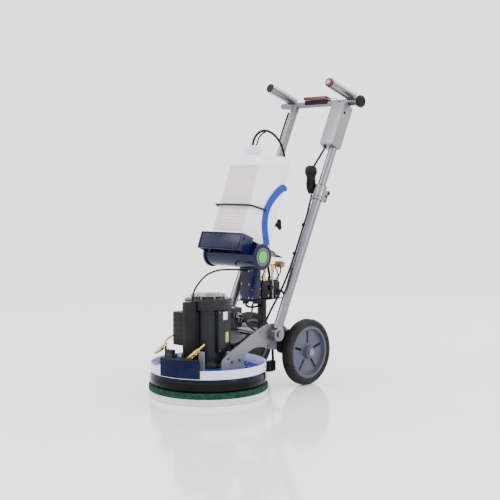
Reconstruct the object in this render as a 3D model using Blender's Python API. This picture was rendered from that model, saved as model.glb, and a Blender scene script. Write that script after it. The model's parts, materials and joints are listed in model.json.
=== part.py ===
"""Walk-behind concrete grinder: one planetary-driven disc, a wheeled chassis, a telescopic handle and a
water tank with its spray pump.  Metres, +Z up.  The origin is the centre of the abrasive pad's underside,
on the floor; -Y is the front (grinding head), +Y the operator's side, +X the machine's left-hand side."""
from math import cos, pi, radians, sin

import bmesh
import bpy
from mathutils import Matrix, Vector

# ---------------------------------------------------------------- driving dimensions
GAP = 0.0003                    # clearance between pieces that touch

PAD_R = 0.216                   # 17 inch pads
PAD_T = 0.022
BACKING_TOP = 0.0425
BUMPER_Z = (0.0437, 0.0890)
BUMPER_R = 0.2105
RIM_R = 0.209                   # deck rim
RIM_TOP = 0.120
SKIRT_R = 0.199
DECK_Z = (0.098, 0.104)
DECK_BORE = 0.052

MODULE = 0.003                  # gear module
SUN_TEETH, PLANET_TEETH = 12, 12
RING_TEETH = SUN_TEETH + 2 * PLANET_TEETH
GEAR_Z = (0.066, 0.088)
RING_Z = (0.0645, 0.0977)
RING_R = 0.068
CARRIER_R = MODULE * (SUN_TEETH + PLANET_TEETH) / 2
PIN_R = 0.006

BARREL_R = 0.071                # motor
BARREL_TOP = 0.3107
COWL_R = 0.085
COWL_TOP = 0.348
CANOPY_R = 0.066
CANOPY_Z = (0.3580, 0.3610)
SHAFT_R = 0.012

ARM_X = (0.103, 0.109)          # chassis side plates
WHEEL_R = 0.124                 # 10 inch wheels
WHEEL_X = (0.129, 0.172)
AXLE_YZ = (0.369, WHEEL_R)
AXLE_R = 0.0105
CROSS_YZ = (0.285, 0.190)
CROSS_R = 0.016
PIVOT_YZ = (0.217, 0.2055)      # handle pivot
PIVOT_R = 0.010

HANDLE_LEAN = radians(25.6)     # from vertical, towards the operator
TUBE_X = 0.132
LOWER_R, LOWER_BORE = 0.0178, 0.0163
UPPER_R, UPPER_BORE = 0.0158, 0.0138
LOWER_END = 0.585               # distances along the tube from the pivot
UPPER_START, CROSSBAR_S = 0.350, 0.964
COLLAR_S, COLLAR_R = (0.540, 0.600), 0.0225
CROSSBAR_R = 0.0125
GRIP_X = {"left": 0.148, "right": -0.160}
GRIP_R = 0.0185
GRIP_YZ = ((0.655, 1.0925), (0.505, 1.1400))

TANK_LEAN = radians(21.0)
TANK_BASE = (0.170, 0.553)      # y, z of the tank frame's origin
TANK_HX, TANK_HN = 0.087, 0.081
TANK_FOOT = -0.0175
NECK_X, NECK_YZ, NECK_R = -0.012, (0.246, 0.868), 0.026
DRUM_A, DRUM_R, DRUM_X = -0.0642, 0.042, 0.131
FLANGE_R = 0.048
PUMP_DECK_Z = (0.318, 0.322)

# ---------------------------------------------------------------- finishes
FINISH = {                      # colour, roughness, metallic
    "white_felt": ((0.80, 0.79, 0.76), 0.9, 0.0),
    "green_felt": ((0.03, 0.22, 0.14), 0.9, 0.0),
    "rubber": ((0.03, 0.03, 0.035), 0.35, 0.0),
    "tyre": ((0.045, 0.04, 0.038), 0.7, 0.0),
    "lilac_paint": ((0.66, 0.67, 0.78), 0.3, 0.0),
    "navy_paint": ((0.02, 0.035, 0.16), 0.3, 0.0),
    "blue_paint": ((0.03, 0.13, 0.60), 0.35, 0.0),
    "motor_paint": ((0.07, 0.08, 0.09), 0.5, 0.0),
    "grey_paint": ((0.46, 0.46, 0.50), 0.45, 0.3),
    "black_plastic": ((0.02, 0.02, 0.022), 0.45, 0.0),
    "hub_plastic": ((0.33, 0.36, 0.42), 0.45, 0.0),
    "tank_plastic": ((0.88, 0.86, 0.86), 0.35, 0.0),
    "red_plastic": ((0.35, 0.02, 0.03), 0.4, 0.0),
    "tube_metal": ((0.60, 0.60, 0.64), 0.35, 0.9),
    "dark_metal": ((0.12, 0.12, 0.13), 0.45, 0.8),
    "steel": ((0.50, 0.50, 0.52), 0.35, 1.0),
    "brass": ((0.72, 0.50, 0.20), 0.3, 1.0),
}

for old in list(bpy.data.objects):
    bpy.data.objects.remove(old, do_unlink=True)


# ---------------------------------------------------------------- shape helpers
def finish(obj, look):
    """Gives the object its own Principled material and shades its round faces smooth."""
    colour, roughness, metallic = FINISH[look]
    material = bpy.data.materials.new(obj.name + "_" + look)
    material.use_nodes = True
    shader = material.node_tree.nodes["Principled BSDF"]
    shader.inputs["Base Color"].default_value = (*colour, 1.0)
    shader.inputs["Roughness"].default_value = roughness
    shader.inputs["Metallic"].default_value = metallic
    obj.data.materials.clear()
    obj.data.materials.append(material)
    if obj.type == "MESH":
        obj.data.shade_smooth()
        obj.data.set_sharp_from_angle(angle=radians(35))
    return obj


def from_bmesh(name, bm):
    bmesh.ops.recalc_face_normals(bm, faces=bm.faces)
    mesh = bpy.data.meshes.new(name)
    bm.to_mesh(mesh)
    bm.free()
    obj = bpy.data.objects.new(name, mesh)
    bpy.context.collection.objects.link(obj)
    return obj


def loft(name, rings, closed=False):
    """Skins rings of equal point count; ends are capped unless the loft is closed on itself."""
    bm = bmesh.new()
    loops = [[bm.verts.new(p) for p in ring] for ring in rings]
    count = len(loops[0])
    pairs = list(zip(loops, loops[1:]))
    if closed:
        pairs.append((loops[-1], loops[0]))
    for low, high in pairs:
        for i in range(count):
            j = (i + 1) % count
            bm.faces.new((low[i], low[j], high[j], high[i]))
    if not closed:
        bm.faces.new(loops[0][::-1])
        bm.faces.new(loops[-1])
    return from_bmesh(name, bm)


def axis_frame(origin, direction):
    """Matrix whose Z runs along direction from origin."""
    turn = Vector((0, 0, 1)).rotation_difference(Vector(direction).normalized())
    return Matrix.Translation(Vector(origin)) @ turn.to_matrix().to_4x4()


def turned(name, profile, steps=40, origin=(0, 0, 0), direction=(0, 0, 1), sweep=None):
    """Turns a closed (radius, height) profile about an axis, a full turn or over sweep=(from, to)."""
    place = axis_frame(origin, direction)
    start, end = sweep if sweep else (0.0, 2 * pi)
    count = steps + 1 if sweep else steps
    bm = bmesh.new()
    rings = []
    for k in range(count):
        angle = start + (end - start) * k / steps
        turn = Vector((cos(angle), sin(angle)))
        rings.append([bm.verts.new(place @ Vector((r * turn.x, r * turn.y, h))) for r, h in profile])
    points = len(profile)
    for k in range(steps):
        near, far = rings[k], rings[(k + 1) % count]
        for i in range(points):
            j = (i + 1) % points
            bm.faces.new((near[i], near[j], far[j], far[i]))
    if sweep:
        bm.faces.new(rings[0])
        bm.faces.new(rings[-1][::-1])
    bmesh.ops.remove_doubles(bm, verts=bm.verts, dist=1e-6)
    return from_bmesh(name, bm)


def rod(name, a, b, radius, sides=20, end_radius=None):
    """A round bar, or a cone when end_radius is given."""
    a, b = Vector(a), Vector(b)
    place = axis_frame(a, b - a)
    length = (b - a).length
    far = radius if end_radius is None else end_radius
    rings = [[place @ Vector((r * cos(2 * pi * k / sides), r * sin(2 * pi * k / sides), h))
              for k in range(sides)] for r, h in ((radius, 0.0), (far, length))]
    return loft(name, rings)


def prism(name, outline, near, far, place):
    """Extrudes a 2-D outline; place(u, v, depth) gives each point in space."""
    return loft(name, [[place(u, v, depth) for u, v in outline] for depth in (near, far)])


def along_x(u, v, depth):
    return (depth, u, v)


def along_z(u, v, depth):
    return (u, v, depth)


def block(name, low, high, bevel=0.0, place=None):
    """A box from corner to corner with optionally bevelled edges, in a local frame if place is given."""
    bm = bmesh.new()
    bmesh.ops.create_cube(bm, size=1.0)
    for vert in bm.verts:
        vert.co = [low[i] + (vert.co[i] + 0.5) * (high[i] - low[i]) for i in range(3)]
    if bevel:
        bmesh.ops.bevel(bm, geom=bm.edges[:], offset=bevel, segments=1, affect="EDGES")
    if place:
        for vert in bm.verts:
            vert.co = place(*vert.co)
    return from_bmesh(name, bm)


def combine(obj, others, operation):
    """Applies Booleans with each of the other objects and removes them."""
    for other in others:
        modifier = obj.modifiers.new("boolean", "BOOLEAN")
        modifier.object = other
        modifier.operation = operation
        modifier.solver = "EXACT"
    depsgraph = bpy.context.evaluated_depsgraph_get()
    mesh = bpy.data.meshes.new_from_object(obj.evaluated_get(depsgraph))
    obj.modifiers.clear()
    obj.data = mesh
    for other in others:
        bpy.data.objects.remove(other, do_unlink=True)
    return obj


def join(obj, *others):
    return combine(obj, others, "UNION")


def cut(obj, *others):
    return combine(obj, others, "DIFFERENCE")


def origin_at(obj, point):
    """Moves the object's origin onto its joint's axis without moving its shape."""
    point = Vector(point)
    obj.data.transform(Matrix.Translation(-point))
    obj.location = point
    return obj


def hose(name, points, radius, look, samples=5, sides=2):
    """A round hose or cable through the points, on a smooth Catmull-Rom course."""
    pts = [Vector(p) for p in points]
    ends = [2 * pts[0] - pts[1]] + pts + [2 * pts[-1] - pts[-2]]
    course = []
    for k in range(1, len(ends) - 2):
        p0, p1, p2, p3 = ends[k - 1:k + 3]
        for step in range(samples):
            t = step / samples
            course.append(0.5 * (2 * p1 + (p2 - p0) * t + (2 * p0 - 5 * p1 + 4 * p2 - p3) * t * t
                                 + (3 * p1 - p0 - 3 * p2 + p3) * t ** 3))
    course.append(pts[-1])
    curve = bpy.data.curves.new(name, "CURVE")
    curve.dimensions = "3D"
    curve.bevel_depth = radius
    curve.bevel_resolution = sides
    curve.use_fill_caps = True
    spline = curve.splines.new("POLY")
    spline.points.add(len(course) - 1)
    for point, co in zip(spline.points, course):
        point.co = (*co, 1.0)
    obj = bpy.data.objects.new(name, curve)
    bpy.context.collection.objects.link(obj)
    return finish(obj, look)


def gear_outline(teeth, outward=True, turn=0.0):
    """Straight-flanked teeth with generous backlash, two points at each root and tip."""
    pitch = MODULE * teeth / 2
    sign = 1 if outward else -1
    root, tip = pitch - sign * 1.13 * MODULE, pitch + sign * 0.8 * MODULE
    half_root, half_tip = 0.96 * MODULE / root, 0.37 * MODULE / tip
    outline = []
    for k in range(teeth):
        centre = turn + 2 * pi * k / teeth
        for radius, angle in ((root, -half_root), (tip, -half_tip), (tip, half_tip), (root, half_root)):
            outline.append((radius * cos(centre + angle), radius * sin(centre + angle)))
    return outline


def on_tube(s, x=0.0, back=0.0):
    """Point at distance s up the handle tube, offset towards the operator by back."""
    return Vector((x, PIVOT_YZ[0] + s * sin(HANDLE_LEAN) + back * cos(HANDLE_LEAN),
                   PIVOT_YZ[1] + s * cos(HANDLE_LEAN) - back * sin(HANDLE_LEAN)))


def on_tank(x, n, a):
    """Point in the leaning tank's frame: n forward of its centre plane, a up its axis."""
    return Vector((x, TANK_BASE[0] - n * cos(TANK_LEAN) + a * sin(TANK_LEAN),
                   TANK_BASE[1] + n * sin(TANK_LEAN) + a * cos(TANK_LEAN)))


SIDES = (("left", 1), ("right", -1))


# ---------------------------------------------------------------- grinding head
def pads_and_driver():
    for name, low, high, look in (("abrasive_pad", 0.0, PAD_T, "white_felt"),
                                  ("backing_pad", PAD_T + GAP, BACKING_TOP, "green_felt")):
        edge = 0.004
        profile = [(0, low), (PAD_R - edge, low), (PAD_R, low + edge), (PAD_R, high - edge),
                   (PAD_R - edge, high), (0, high)]
        finish(turned(name, profile, 44), look)
    base, top = BACKING_TOP + GAP, 0.056
    profile = [(0, base), (0.185, base), (0.185, base + 0.007), (0.060, top), (0, top)]
    plate = turned("pad_driver", profile, 32)
    pins = []
    for k in range(3):
        x, y = CARRIER_R * cos(2 * pi * k / 3), CARRIER_R * sin(2 * pi * k / 3)
        pins.append(rod("pin", (x, y, top - 0.003), (x, y, GEAR_Z[1] + 0.002), PIN_R, 16))
    finish(join(plate, *pins), "steel")


def gear_train():
    bore = prism("bore", gear_outline(RING_TEETH, outward=False), RING_Z[0] - 0.01, RING_Z[1] + 0.01, along_z)
    ring = rod("ring_gear", (0, 0, RING_Z[0]), (0, 0, RING_Z[1]), RING_R, 32)
    finish(cut(ring, bore), "steel")
    for k in range(3):
        place = Vector((CARRIER_R * cos(2 * pi * k / 3), CARRIER_R * sin(2 * pi * k / 3), 0))
        outline = gear_outline(PLANET_TEETH, turn=pi / PLANET_TEETH)
        planet = prism(f"planet_gear_{k + 1}", outline, GEAR_Z[0], GEAR_Z[1], along_z)
        cut(planet, rod("bore", (0, 0, 0.05), (0, 0, 0.1), PIN_R + 0.0002, 16))
        planet.location = place
        finish(planet, "steel")
    shaft = turned("rotor_shaft", [(0, GEAR_Z[1] - 0.002), (SHAFT_R, GEAR_Z[1] - 0.002), (SHAFT_R, 0.150),
                                   (0.0395, 0.150), (0.0395, 0.280), (SHAFT_R, 0.280), (SHAFT_R, 0.337),
                                   (0, 0.337)], 20)
    sun = prism("sun", gear_outline(SUN_TEETH), GEAR_Z[0], GEAR_Z[1], along_z)
    disc = [(0, 0.318), (0.055, 0.318), (0.055, 0.321), (0.020, 0.321), (0.020, 0.332), (0, 0.332)]
    fan = [turned("fan", disc, 24)]
    for k in range(6):
        blade = block("blade", (0.018, -0.001, 0.320), (0.062, 0.001, 0.338))
        blade.data.transform(Matrix.Rotation(k * pi / 3, 4, "Z"))
        fan.append(blade)
    finish(join(shaft, sun, *fan), "steel")


def deck_and_bumper():
    profile = [(DECK_BORE, DECK_Z[0]), (SKIRT_R - 0.003, DECK_Z[0]),
               (SKIRT_R - 0.003, BUMPER_Z[0] + 0.002),
               (SKIRT_R, BUMPER_Z[0] + 0.002), (SKIRT_R, BUMPER_Z[1] + GAP), (RIM_R, BUMPER_Z[1] + GAP),
               (RIM_R, RIM_TOP), (RIM_R - 0.0045, RIM_TOP), (RIM_R - 0.0045, DECK_Z[1]), (DECK_BORE, DECK_Z[1])]
    finish(turned("deck", profile, 44), "lilac_paint")
    low, high = BUMPER_Z
    inner, outer = SKIRT_R + GAP, BUMPER_R
    middle, bulge = (low + high) / 2, (high - low) / 2
    arc = [(outer - 0.006 + 0.006 * cos(t), middle + bulge * sin(t))
           for t in [radians(a) for a in (-90, -45, 0, 45, 90)]]
    finish(turned("bumper", [(inner, low)] + arc + [(inner, high)], 44), "rubber")
    start, end = radians(-96), radians(-52)
    guard = [(RIM_R + GAP * 2, 0.091), (0.2125, 0.091), (0.2125, 0.158), (0.196, 0.158), (0.196, 0.155),
             (RIM_R + GAP * 2, 0.155)]
    finish(turned("splash_guard", guard, 10, sweep=(start, end)), "navy_paint")


def motor():
    base = DECK_Z[1] + GAP
    finish(turned("motor_barrel", [(0.030, base), (0.082, base), (0.082, 0.114), (BARREL_R, 0.118),
                                   (BARREL_R, BARREL_TOP), (0.0622, BARREL_TOP), (0.0622, 0.125),
                                   (0.030, 0.125)], 32), "motor_paint")
    ring = [(0.0401, 0.152), (0.0619, 0.152), (0.0619, 0.278), (0.0401, 0.278)]
    finish(turned("stator", ring, 24), "dark_metal")
    low = BARREL_TOP + GAP
    finish(turned("fan_cowl", [(0.064, low), (COWL_R, low), (COWL_R, COWL_TOP - 0.003),
                               (COWL_R - 0.003, COWL_TOP), (0.055, COWL_TOP), (0.055, COWL_TOP - 0.003),
                               (COWL_R - 0.003, COWL_TOP - 0.003), (COWL_R - 0.003, low + 0.003),
                               (0.064, low + 0.003)], 32), "motor_paint")
    canopy = turned("rain_canopy", [(0, CANOPY_Z[0]), (CANOPY_R, CANOPY_Z[0]), (CANOPY_R, CANOPY_Z[1]),
                                    (0, CANOPY_Z[1])], 28)
    legs = []
    for k in range(4):
        x, y = 0.0605 * cos(pi / 4 + k * pi / 2), 0.0605 * sin(pi / 4 + k * pi / 2)
        legs.append(rod("leg", (x, y, COWL_TOP + GAP), (x, y, CANOPY_Z[0] + 0.001), 0.004, 8))
    finish(join(canopy, *legs), "grey_paint")


def motor_boxes():
    """Terminal box on the left and rear, scooped to fit the barrel, and the electrics box at the front."""
    scoop = BARREL_R + GAP
    side = block("terminal_box", (0.050, -0.031, 0.160), (0.083, 0.031, 0.310), 0.002)
    rear = block("rear", (-0.040, 0.047, 0.235), (0.060, 0.114, 0.3085), 0.002)
    join(side, rear, block("neck", (0.052, 0.020, 0.240), (0.066, 0.060, 0.300)))
    glands = [rod("gland", (0.058, 0.075, 0.283), (0.084, 0.075, 0.283), 0.011, 12),
              rod("gland", (0.058, 0.100, 0.262), (0.078, 0.100, 0.262), 0.009, 12)]
    join(side, *glands)
    finish(cut(side, rod("scoop", (0, 0, 0.1), (0, 0, 0.32), scoop, 32)), "motor_paint")
    side_plate = [(-0.137, 0.140), (-0.074, 0.140), (-0.074, 0.305), (-0.0875, 0.305), (-0.0875, 0.345),
                  (-0.137, 0.345)]
    front = prism("front_box", side_plate, 0.0115, 0.030, along_x)
    box = block("box", (-0.041, -0.1365, 0.190), (0.013, -0.0745, 0.308), 0.003)
    foot = block("foot", (0.0135, -0.125, DECK_Z[1] + GAP), (0.0280, -0.088, 0.142))
    finish(join(front, box, foot), "black_plastic")


def spray_bar_and_nozzles():
    y = -0.165
    bar = rod("spray_bar", (-0.0490, y, 0.152), (0.062, y, 0.152), 0.004, 12)
    riser = rod("riser", (-0.045, y, 0.1505), (-0.045, y, 0.188), 0.0042, 12)
    post = block("post", (-0.008, y - 0.004, DECK_Z[1] + GAP), (0.008, y + 0.0045, 0.1505), 0.001)
    clamp = block("clamp", (-0.012, y - 0.007, 0.1445), (0.012, y + 0.007, 0.1595), 0.002)
    finish(join(bar, riser, post, clamp), "black_plastic")
    left = rod("nozzle_left", (-0.045, y, 0.188 + GAP), (-0.045, y, 0.1970), 0.0060, 12)
    join(left, rod("elbow", (-0.0440, y, 0.1932), (-0.0560, y, 0.1932), 0.0044, 12),
         rod("neck", (-0.0545, y, 0.1930), (-0.0645, y, 0.1782), 0.0044, 12),
         rod("nut", (-0.0630, y, 0.1791), (-0.0780, y, 0.1703), 0.0085, 6),
         rod("tip", (-0.0765, y, 0.1712), (-0.1020, y, 0.1562), 0.0062, 12, 0.0050))
    finish(origin_at(left, (-0.045, y, 0.188)), "brass")
    right = rod("nozzle_right", (0.0670, y, 0.1520), (0.0860, y, 0.1660), 0.0085, 6)
    join(right, rod("stub", (0.062 + GAP, y, 0.152), (0.0720, y, 0.152), 0.0046, 12),
         rod("body", (0.0850, y, 0.1653), (0.1200, y, 0.1911), 0.0062, 12),
         rod("collar", (0.1000, y, 0.1764), (0.1065, y, 0.1812), 0.0085, 6),
         rod("tip", (0.1190, y, 0.1904), (0.1500, y, 0.2133), 0.0040, 10, 0.0028))
    finish(origin_at(right, (0.062, y, 0.152)), "brass")
    points = [(0.021, -0.098, 0.3455), (0.021, -0.094, 0.367), (0.021, -0.084, 0.388), (0.020, -0.066, 0.406),
              (0.018, -0.040, 0.424), (0.014, -0.010, 0.436), (0.008, 0.045, 0.4445), (0.003, 0.110, 0.4425),
              (0.0, 0.160, 0.4385), (0.0, 0.1935, 0.4350)]
    hose("spray_hose", points, 0.0035, "rubber", 3)


# ---------------------------------------------------------------- chassis
def arms():
    """Side plates: bolted to the deck in front, arched over its rear edge, carrying the handle pivot."""
    base = DECK_Z[1] + GAP
    outline = [(-0.040, base), (0.071, base), (0.076, 0.136), (0.086, 0.147), (0.102, 0.155), (0.123, 0.161),
               (0.145, 0.164), (0.178, 0.159), (0.210, 0.149), (0.237, 0.142), (0.262, 0.145), (0.295, 0.158),
               (0.310, 0.175), (0.312, 0.200), (0.300, 0.222), (0.270, 0.236), (0.243, 0.2405), (0.217, 0.242),
               (0.190, 0.2405), (0.166, 0.233), (0.139, 0.224), (0.102, 0.206), (0.051, 0.183), (0.005, 0.163),
               (-0.018, 0.150), (-0.034, 0.138), (-0.040, 0.126)]
    teeth, disc_r = 20, 0.033
    for name, side in SIDES:
        near, far = sorted((side * ARM_X[0], side * ARM_X[1]))
        plate = prism(f"arm_{name}", outline, near, far, along_x)
        disc = []
        for k in range(teeth):
            centre = 2 * pi * k / teeth
            for radius, angle in ((disc_r - 0.003, -0.085), (disc_r, -0.045), (disc_r, 0.045),
                                  (disc_r - 0.003, 0.085)):
                disc.append((PIVOT_YZ[0] + radius * cos(centre + angle),
                             PIVOT_YZ[1] + radius * sin(centre + angle)))
        join(plate, prism("disc", disc, side * (ARM_X[1] - 0.002), side * 0.1120, along_x))
        holes = [rod("hole", (side * 0.09, *PIVOT_YZ), (side * 0.13, *PIVOT_YZ), PIVOT_R + 0.0003, 24),
                 rod("hole", (side * 0.09, *CROSS_YZ), (side * 0.13, *CROSS_YZ), CROSS_R + 0.0003, 24),
                 rod("hole", (side * 0.09, -0.008, 0.138), (side * 0.13, -0.008, 0.138), 0.0045, 12),
                 rod("hole", (side * 0.09, 0.158, 0.216), (side * 0.13, 0.158, 0.216), 0.0030, 12)]
        finish(cut(plate, *holes), "grey_paint")


def axle_carrier():
    """Cheeks, cross tube, axle and the mast that holds the pump deck and cradle: one welded part."""
    cheek = [(0.2475, 0.135), (0.262, 0.128), (0.345, 0.100), (0.395, 0.105), (0.395, 0.145), (0.305, 0.2145),
             (0.262, 0.205), (0.2475, 0.190)]
    carrier = rod("axle_carrier", (-0.1185, *CROSS_YZ), (0.1185, *CROSS_YZ), CROSS_R, 24)
    parts = []
    for side in (1, -1):
        near, far = sorted((side * (ARM_X[1] + GAP), side * 0.1245))
        parts.append(prism("cheek", cheek, near, far, along_x))
        parts.append(rod("cap", (side * (WHEEL_X[1] + 0.0018), *AXLE_YZ), (side * 0.178, *AXLE_YZ), 0.0150, 16))
    parts.append(rod("axle", (-0.1765, *AXLE_YZ), (0.1765, *AXLE_YZ), AXLE_R, 20))
    parts.append(block("post", (-0.012, 0.273, 0.195), (0.012, 0.297, 0.3195)))
    parts.append(block("pump_deck", (-0.040, 0.190, PUMP_DECK_Z[0]), (0.034, 0.362, PUMP_DECK_Z[1])))
    mast = [(0.200, 0.3205), (0.300, 0.3205), (0.300, 0.4795), (0.200, 0.5175)]
    parts.append(prism("mast", mast, -0.034, -0.028, along_x))
    finish(join(carrier, *parts), "dark_metal")


def wheels():
    x0, x1 = WHEEL_X
    tyre = [(0.0985, x0 + 0.002), (0.108, x0), (0.118, x0 + 0.002), (WHEEL_R, x0 + 0.009),
            (WHEEL_R, x1 - 0.009), (0.118, x1 - 0.002), (0.108, x1), (0.0985, x1 - 0.002)]
    bore = AXLE_R + GAP
    hub = [(bore, x0 + 0.001), (0.024, x0 + 0.001), (0.026, 0.146), (0.086, 0.146), (0.088, 0.134),
           (0.0976, 0.133), (0.0976, 0.168), (0.088, 0.167), (0.086, 0.155), (0.026, 0.155),
           (0.024, x1 + 0.001), (bore, x1 + 0.001)]
    for name, side in SIDES:
        origin, out = (0, *AXLE_YZ), (side, 0, 0)
        finish(origin_at(turned(f"tyre_{name}", tyre, 36, origin, out), origin), "tyre")
        wheel = turned(f"hub_{name}", hub, 25, origin, out)
        slots = []
        for k in range(5):
            outline = []
            for radius, across in ((0.034, -0.004), (0.080, -0.004), (0.080, 0.004), (0.034, 0.004)):
                angle = radians(90 + 72 * k) + across / radius
                outline.append((AXLE_YZ[0] + radius * cos(angle), AXLE_YZ[1] + radius * sin(angle)))
            slots.append(prism("slot", outline, side * 0.14, side * 0.16, along_x))
        finish(origin_at(cut(wheel, *slots), origin), "hub_plastic")


# ---------------------------------------------------------------- handle
def lower_handle():
    axis = Vector((0, *PIVOT_YZ))
    for name, side in SIDES:
        x = side * TUBE_X
        tube = rod(f"lower_tube_{name}", on_tube(0, x), on_tube(LOWER_END, x), LOWER_R, 20)
        boss = rod("boss", (side * 0.1145, *PIVOT_YZ), (side * 0.152, *PIVOT_YZ), 0.026, 24)
        join(tube, boss)
        cut(tube, rod("bore", on_tube(0.045, x), on_tube(0.7, x), LOWER_BORE, 20),
            rod("bore", (side * 0.10, *PIVOT_YZ), (side * 0.16, *PIVOT_YZ), PIVOT_R + 0.0002, 24))
        finish(origin_at(tube, axis), "tube_metal")
        low, high = COLLAR_S
        step = LOWER_END + GAP * 2
        wide, narrow = LOWER_R + GAP, UPPER_R + 2 * GAP
        profile = [(wide, low), (COLLAR_R, low), (COLLAR_R, high), (narrow, high), (narrow, step), (wide, step)]
        ring = turned(f"collar_{name}", profile, 20, on_tube(0, x), on_tube(1) - on_tube(0))
        ear = block("ear", (x - 0.008, 0.0197, 0.552), (x + 0.008, 0.0375, 0.594), 0.001,
                    lambda px, back, s: on_tube(s, px, back))
        finish(origin_at(join(ring, ear), axis), "steel")
        hinge = on_tube(0.556, x, 0.0425)
        lever = block(f"clamp_lever_{name}", (x - 0.006, 0.0390, 0.552), (x + 0.006, 0.0460, 0.590), 0.001,
                      lambda px, back, s: on_tube(s, px, back))
        bend = block("bend", (x - 0.007, 0.0395, 0.585), (x + 0.007, 0.0540, 0.600), 0.002,
                     lambda px, back, s: on_tube(s, px, back))
        finish(origin_at(join(lever, bend), hinge), "black_plastic")
    shaft = rod("pivot_shaft", (-0.1515, *PIVOT_YZ), (0.1515, *PIVOT_YZ), PIVOT_R, 24)
    head = [rod("head", (s * 0.1523, *PIVOT_YZ), (s * 0.1583, *PIVOT_YZ), 0.014, 6) for s in (1, -1)]
    neck = rod("neck", (-0.154, *PIVOT_YZ), (0.154, *PIVOT_YZ), PIVOT_R * 0.8, 16)
    finish(origin_at(join(shaft, neck, *head), axis), "steel")


def upper_handle():
    axis = Vector((0, *PIVOT_YZ))
    bar_y, bar_z = on_tube(CROSSBAR_S)[1:]

    def bar_cutter():
        return rod("cutter", (-0.3, bar_y, bar_z), (0.3, bar_y, bar_z), CROSSBAR_R + GAP, 24)

    finish(rod("crossbar", (-0.206, bar_y, bar_z), (0.1875, bar_y, bar_z), CROSSBAR_R, 24), "dark_metal")
    knob = turned("crossbar_knob", [(0, 0.1880), (0.014, 0.1880), (0.0225, 0.1910), (0.0235, 0.1950),
                                    (0.0235, 0.2020), (0.0200, 0.2060), (0, 0.2060)], 20,
                  (0, bar_y, bar_z), (1, 0, 0))
    finish(origin_at(knob, (0.188, bar_y, bar_z)), "black_plastic")
    for name, side in SIDES:
        x = side * TUBE_X
        tube = rod(f"upper_tube_{name}", on_tube(UPPER_START, x), on_tube(CROSSBAR_S, x), UPPER_R, 18)
        cut(tube, rod("bore", on_tube(0.3, x), on_tube(1.0, x), UPPER_BORE, 18), bar_cutter())
        finish(origin_at(tube, axis), "tube_metal")
        rear, front = [Vector((GRIP_X[name], *yz)) for yz in GRIP_YZ]
        grip = rod(f"grip_{name}", rear, front, GRIP_R, 20)
        reach = (front - rear) * 0.2
        cut(grip, rod("bore", rear + reach * 0.3, front + reach, GRIP_R - 0.0025, 20), bar_cutter())
        finish(grip, "tube_metal")
        if side == 1:
            out = (front - rear).normalized()
            button = rod("stop_button", front - out * 0.012, front + out * 0.004, 0.0120, 20)
            join(button, rod("head", front + out * 0.0030, front + out * 0.0120, 0.0172, 24, 0.0150))
            finish(origin_at(button, front), "red_plastic")
    box = block("switch_box", (0.089, -0.0360, 0.763), (0.155, 0.0190, 0.945), 0.002,
                lambda px, back, s: on_tube(s, px, back))
    join(box, rod("gland", on_tube(0.765, 0.105, -0.018), on_tube(0.751, 0.105, -0.018), 0.0065, 12))
    finish(cut(box, rod("bore", on_tube(0.7, TUBE_X), on_tube(1.0, TUBE_X), UPPER_R + GAP, 18)), "tube_metal")
    top = bar_z + CROSSBAR_R
    housing = block("lever_housing", (-0.076, bar_y - 0.014, bar_z - 0.003),
                    (0.044, bar_y + 0.014, top + 0.0045), 0.002)
    finish(cut(housing, bar_cutter()), "black_plastic")
    hinge = Vector((0, bar_y + 0.013, top + 0.0088))
    tilt = Matrix.Translation(hinge) @ Matrix.Rotation(radians(-10), 4, "X")
    lever = block("deadman_lever", (-0.072, -0.036, -0.0018), (0.040, 0.002, 0.0022), 0.001,
                  lambda px, py, pz: tilt @ Vector((px, py, pz)))
    finish(origin_at(lever, hinge), "red_plastic")
    head = on_tube(0.648, 0.088, -0.0340)
    foot = on_tube(0.570, 0.088, 0.0050)
    down = foot - head
    size = down.length
    body = [(0, -0.022), (0.012, -0.022), (0.020, -0.016), (0.0235, -0.004), (0.0235, 0.006),
            (0.019, 0.018), (0.0165, 0.026), (0.0165, 0.070), (0.011, size), (0, size)]
    plug = turned("cable_plug", body, 16, head, down)
    finish(plug, "rubber")
    start = on_tube(0.751 - GAP * 6, 0.105, -0.018)
    end = head + (start - head).normalized() * 0.0262
    hose("upper_cable", [start, start.lerp(end, 0.33), start.lerp(end, 0.67), end], 0.0042, "rubber", 3)
    low = foot + down.normalized() * GAP * 3
    course = [low, low + down.normalized() * 0.014, on_tube(0.525, 0.097, 0.004), on_tube(0.48, 0.104),
              on_tube(0.40, 0.104), on_tube(0.32, 0.104), on_tube(0.25, 0.103, -0.001),
              on_tube(0.19, 0.101, -0.006),
              on_tube(0.13, 0.097, -0.014), (0.094, 0.228, 0.285), (0.092, 0.205, 0.250), (0.091, 0.182, 0.228),
              (0.092, 0.160, 0.222), (0.093, 0.138, 0.228), (0.094, 0.118, 0.242), (0.091, 0.104, 0.256),
              (0.084, 0.1003, 0.2612), (0.0783, 0.100, 0.262)]
    hose("lower_cable", course, 0.0042, "rubber", 2)


# ---------------------------------------------------------------- tank, cradle and pump
def rounded_ring(hx, hn, radius, a, rise=0.0, off=(0.0, 0.0), k=4):
    """Rounded rectangle in the tank's frame, rise metres higher for each metre towards the rear."""
    ring = []
    for quadrant, (sx, sn) in enumerate(((1, 1), (-1, 1), (-1, -1), (1, -1))):
        for step in range(k + 1):
            angle = pi / 2 * (quadrant + step / k)
            n = off[1] + sn * (hn - radius) + radius * sin(angle)
            ring.append(on_tank(off[0] + sx * (hx - radius) + radius * cos(angle), n, a - rise * n))
    return ring


def neck_ring(radius, z, k=4):
    """Level circle about the upright neck, with the same count and order as rounded_ring."""
    ring = []
    for quadrant in range(4):
        for step in range(k + 1):
            angle = pi / 2 * (quadrant + step / k) + (quadrant - 1.5) * 0.002
            ring.append(Vector((NECK_X + radius * cos(angle), NECK_YZ[0] - radius * sin(angle), z)))
    return ring


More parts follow.
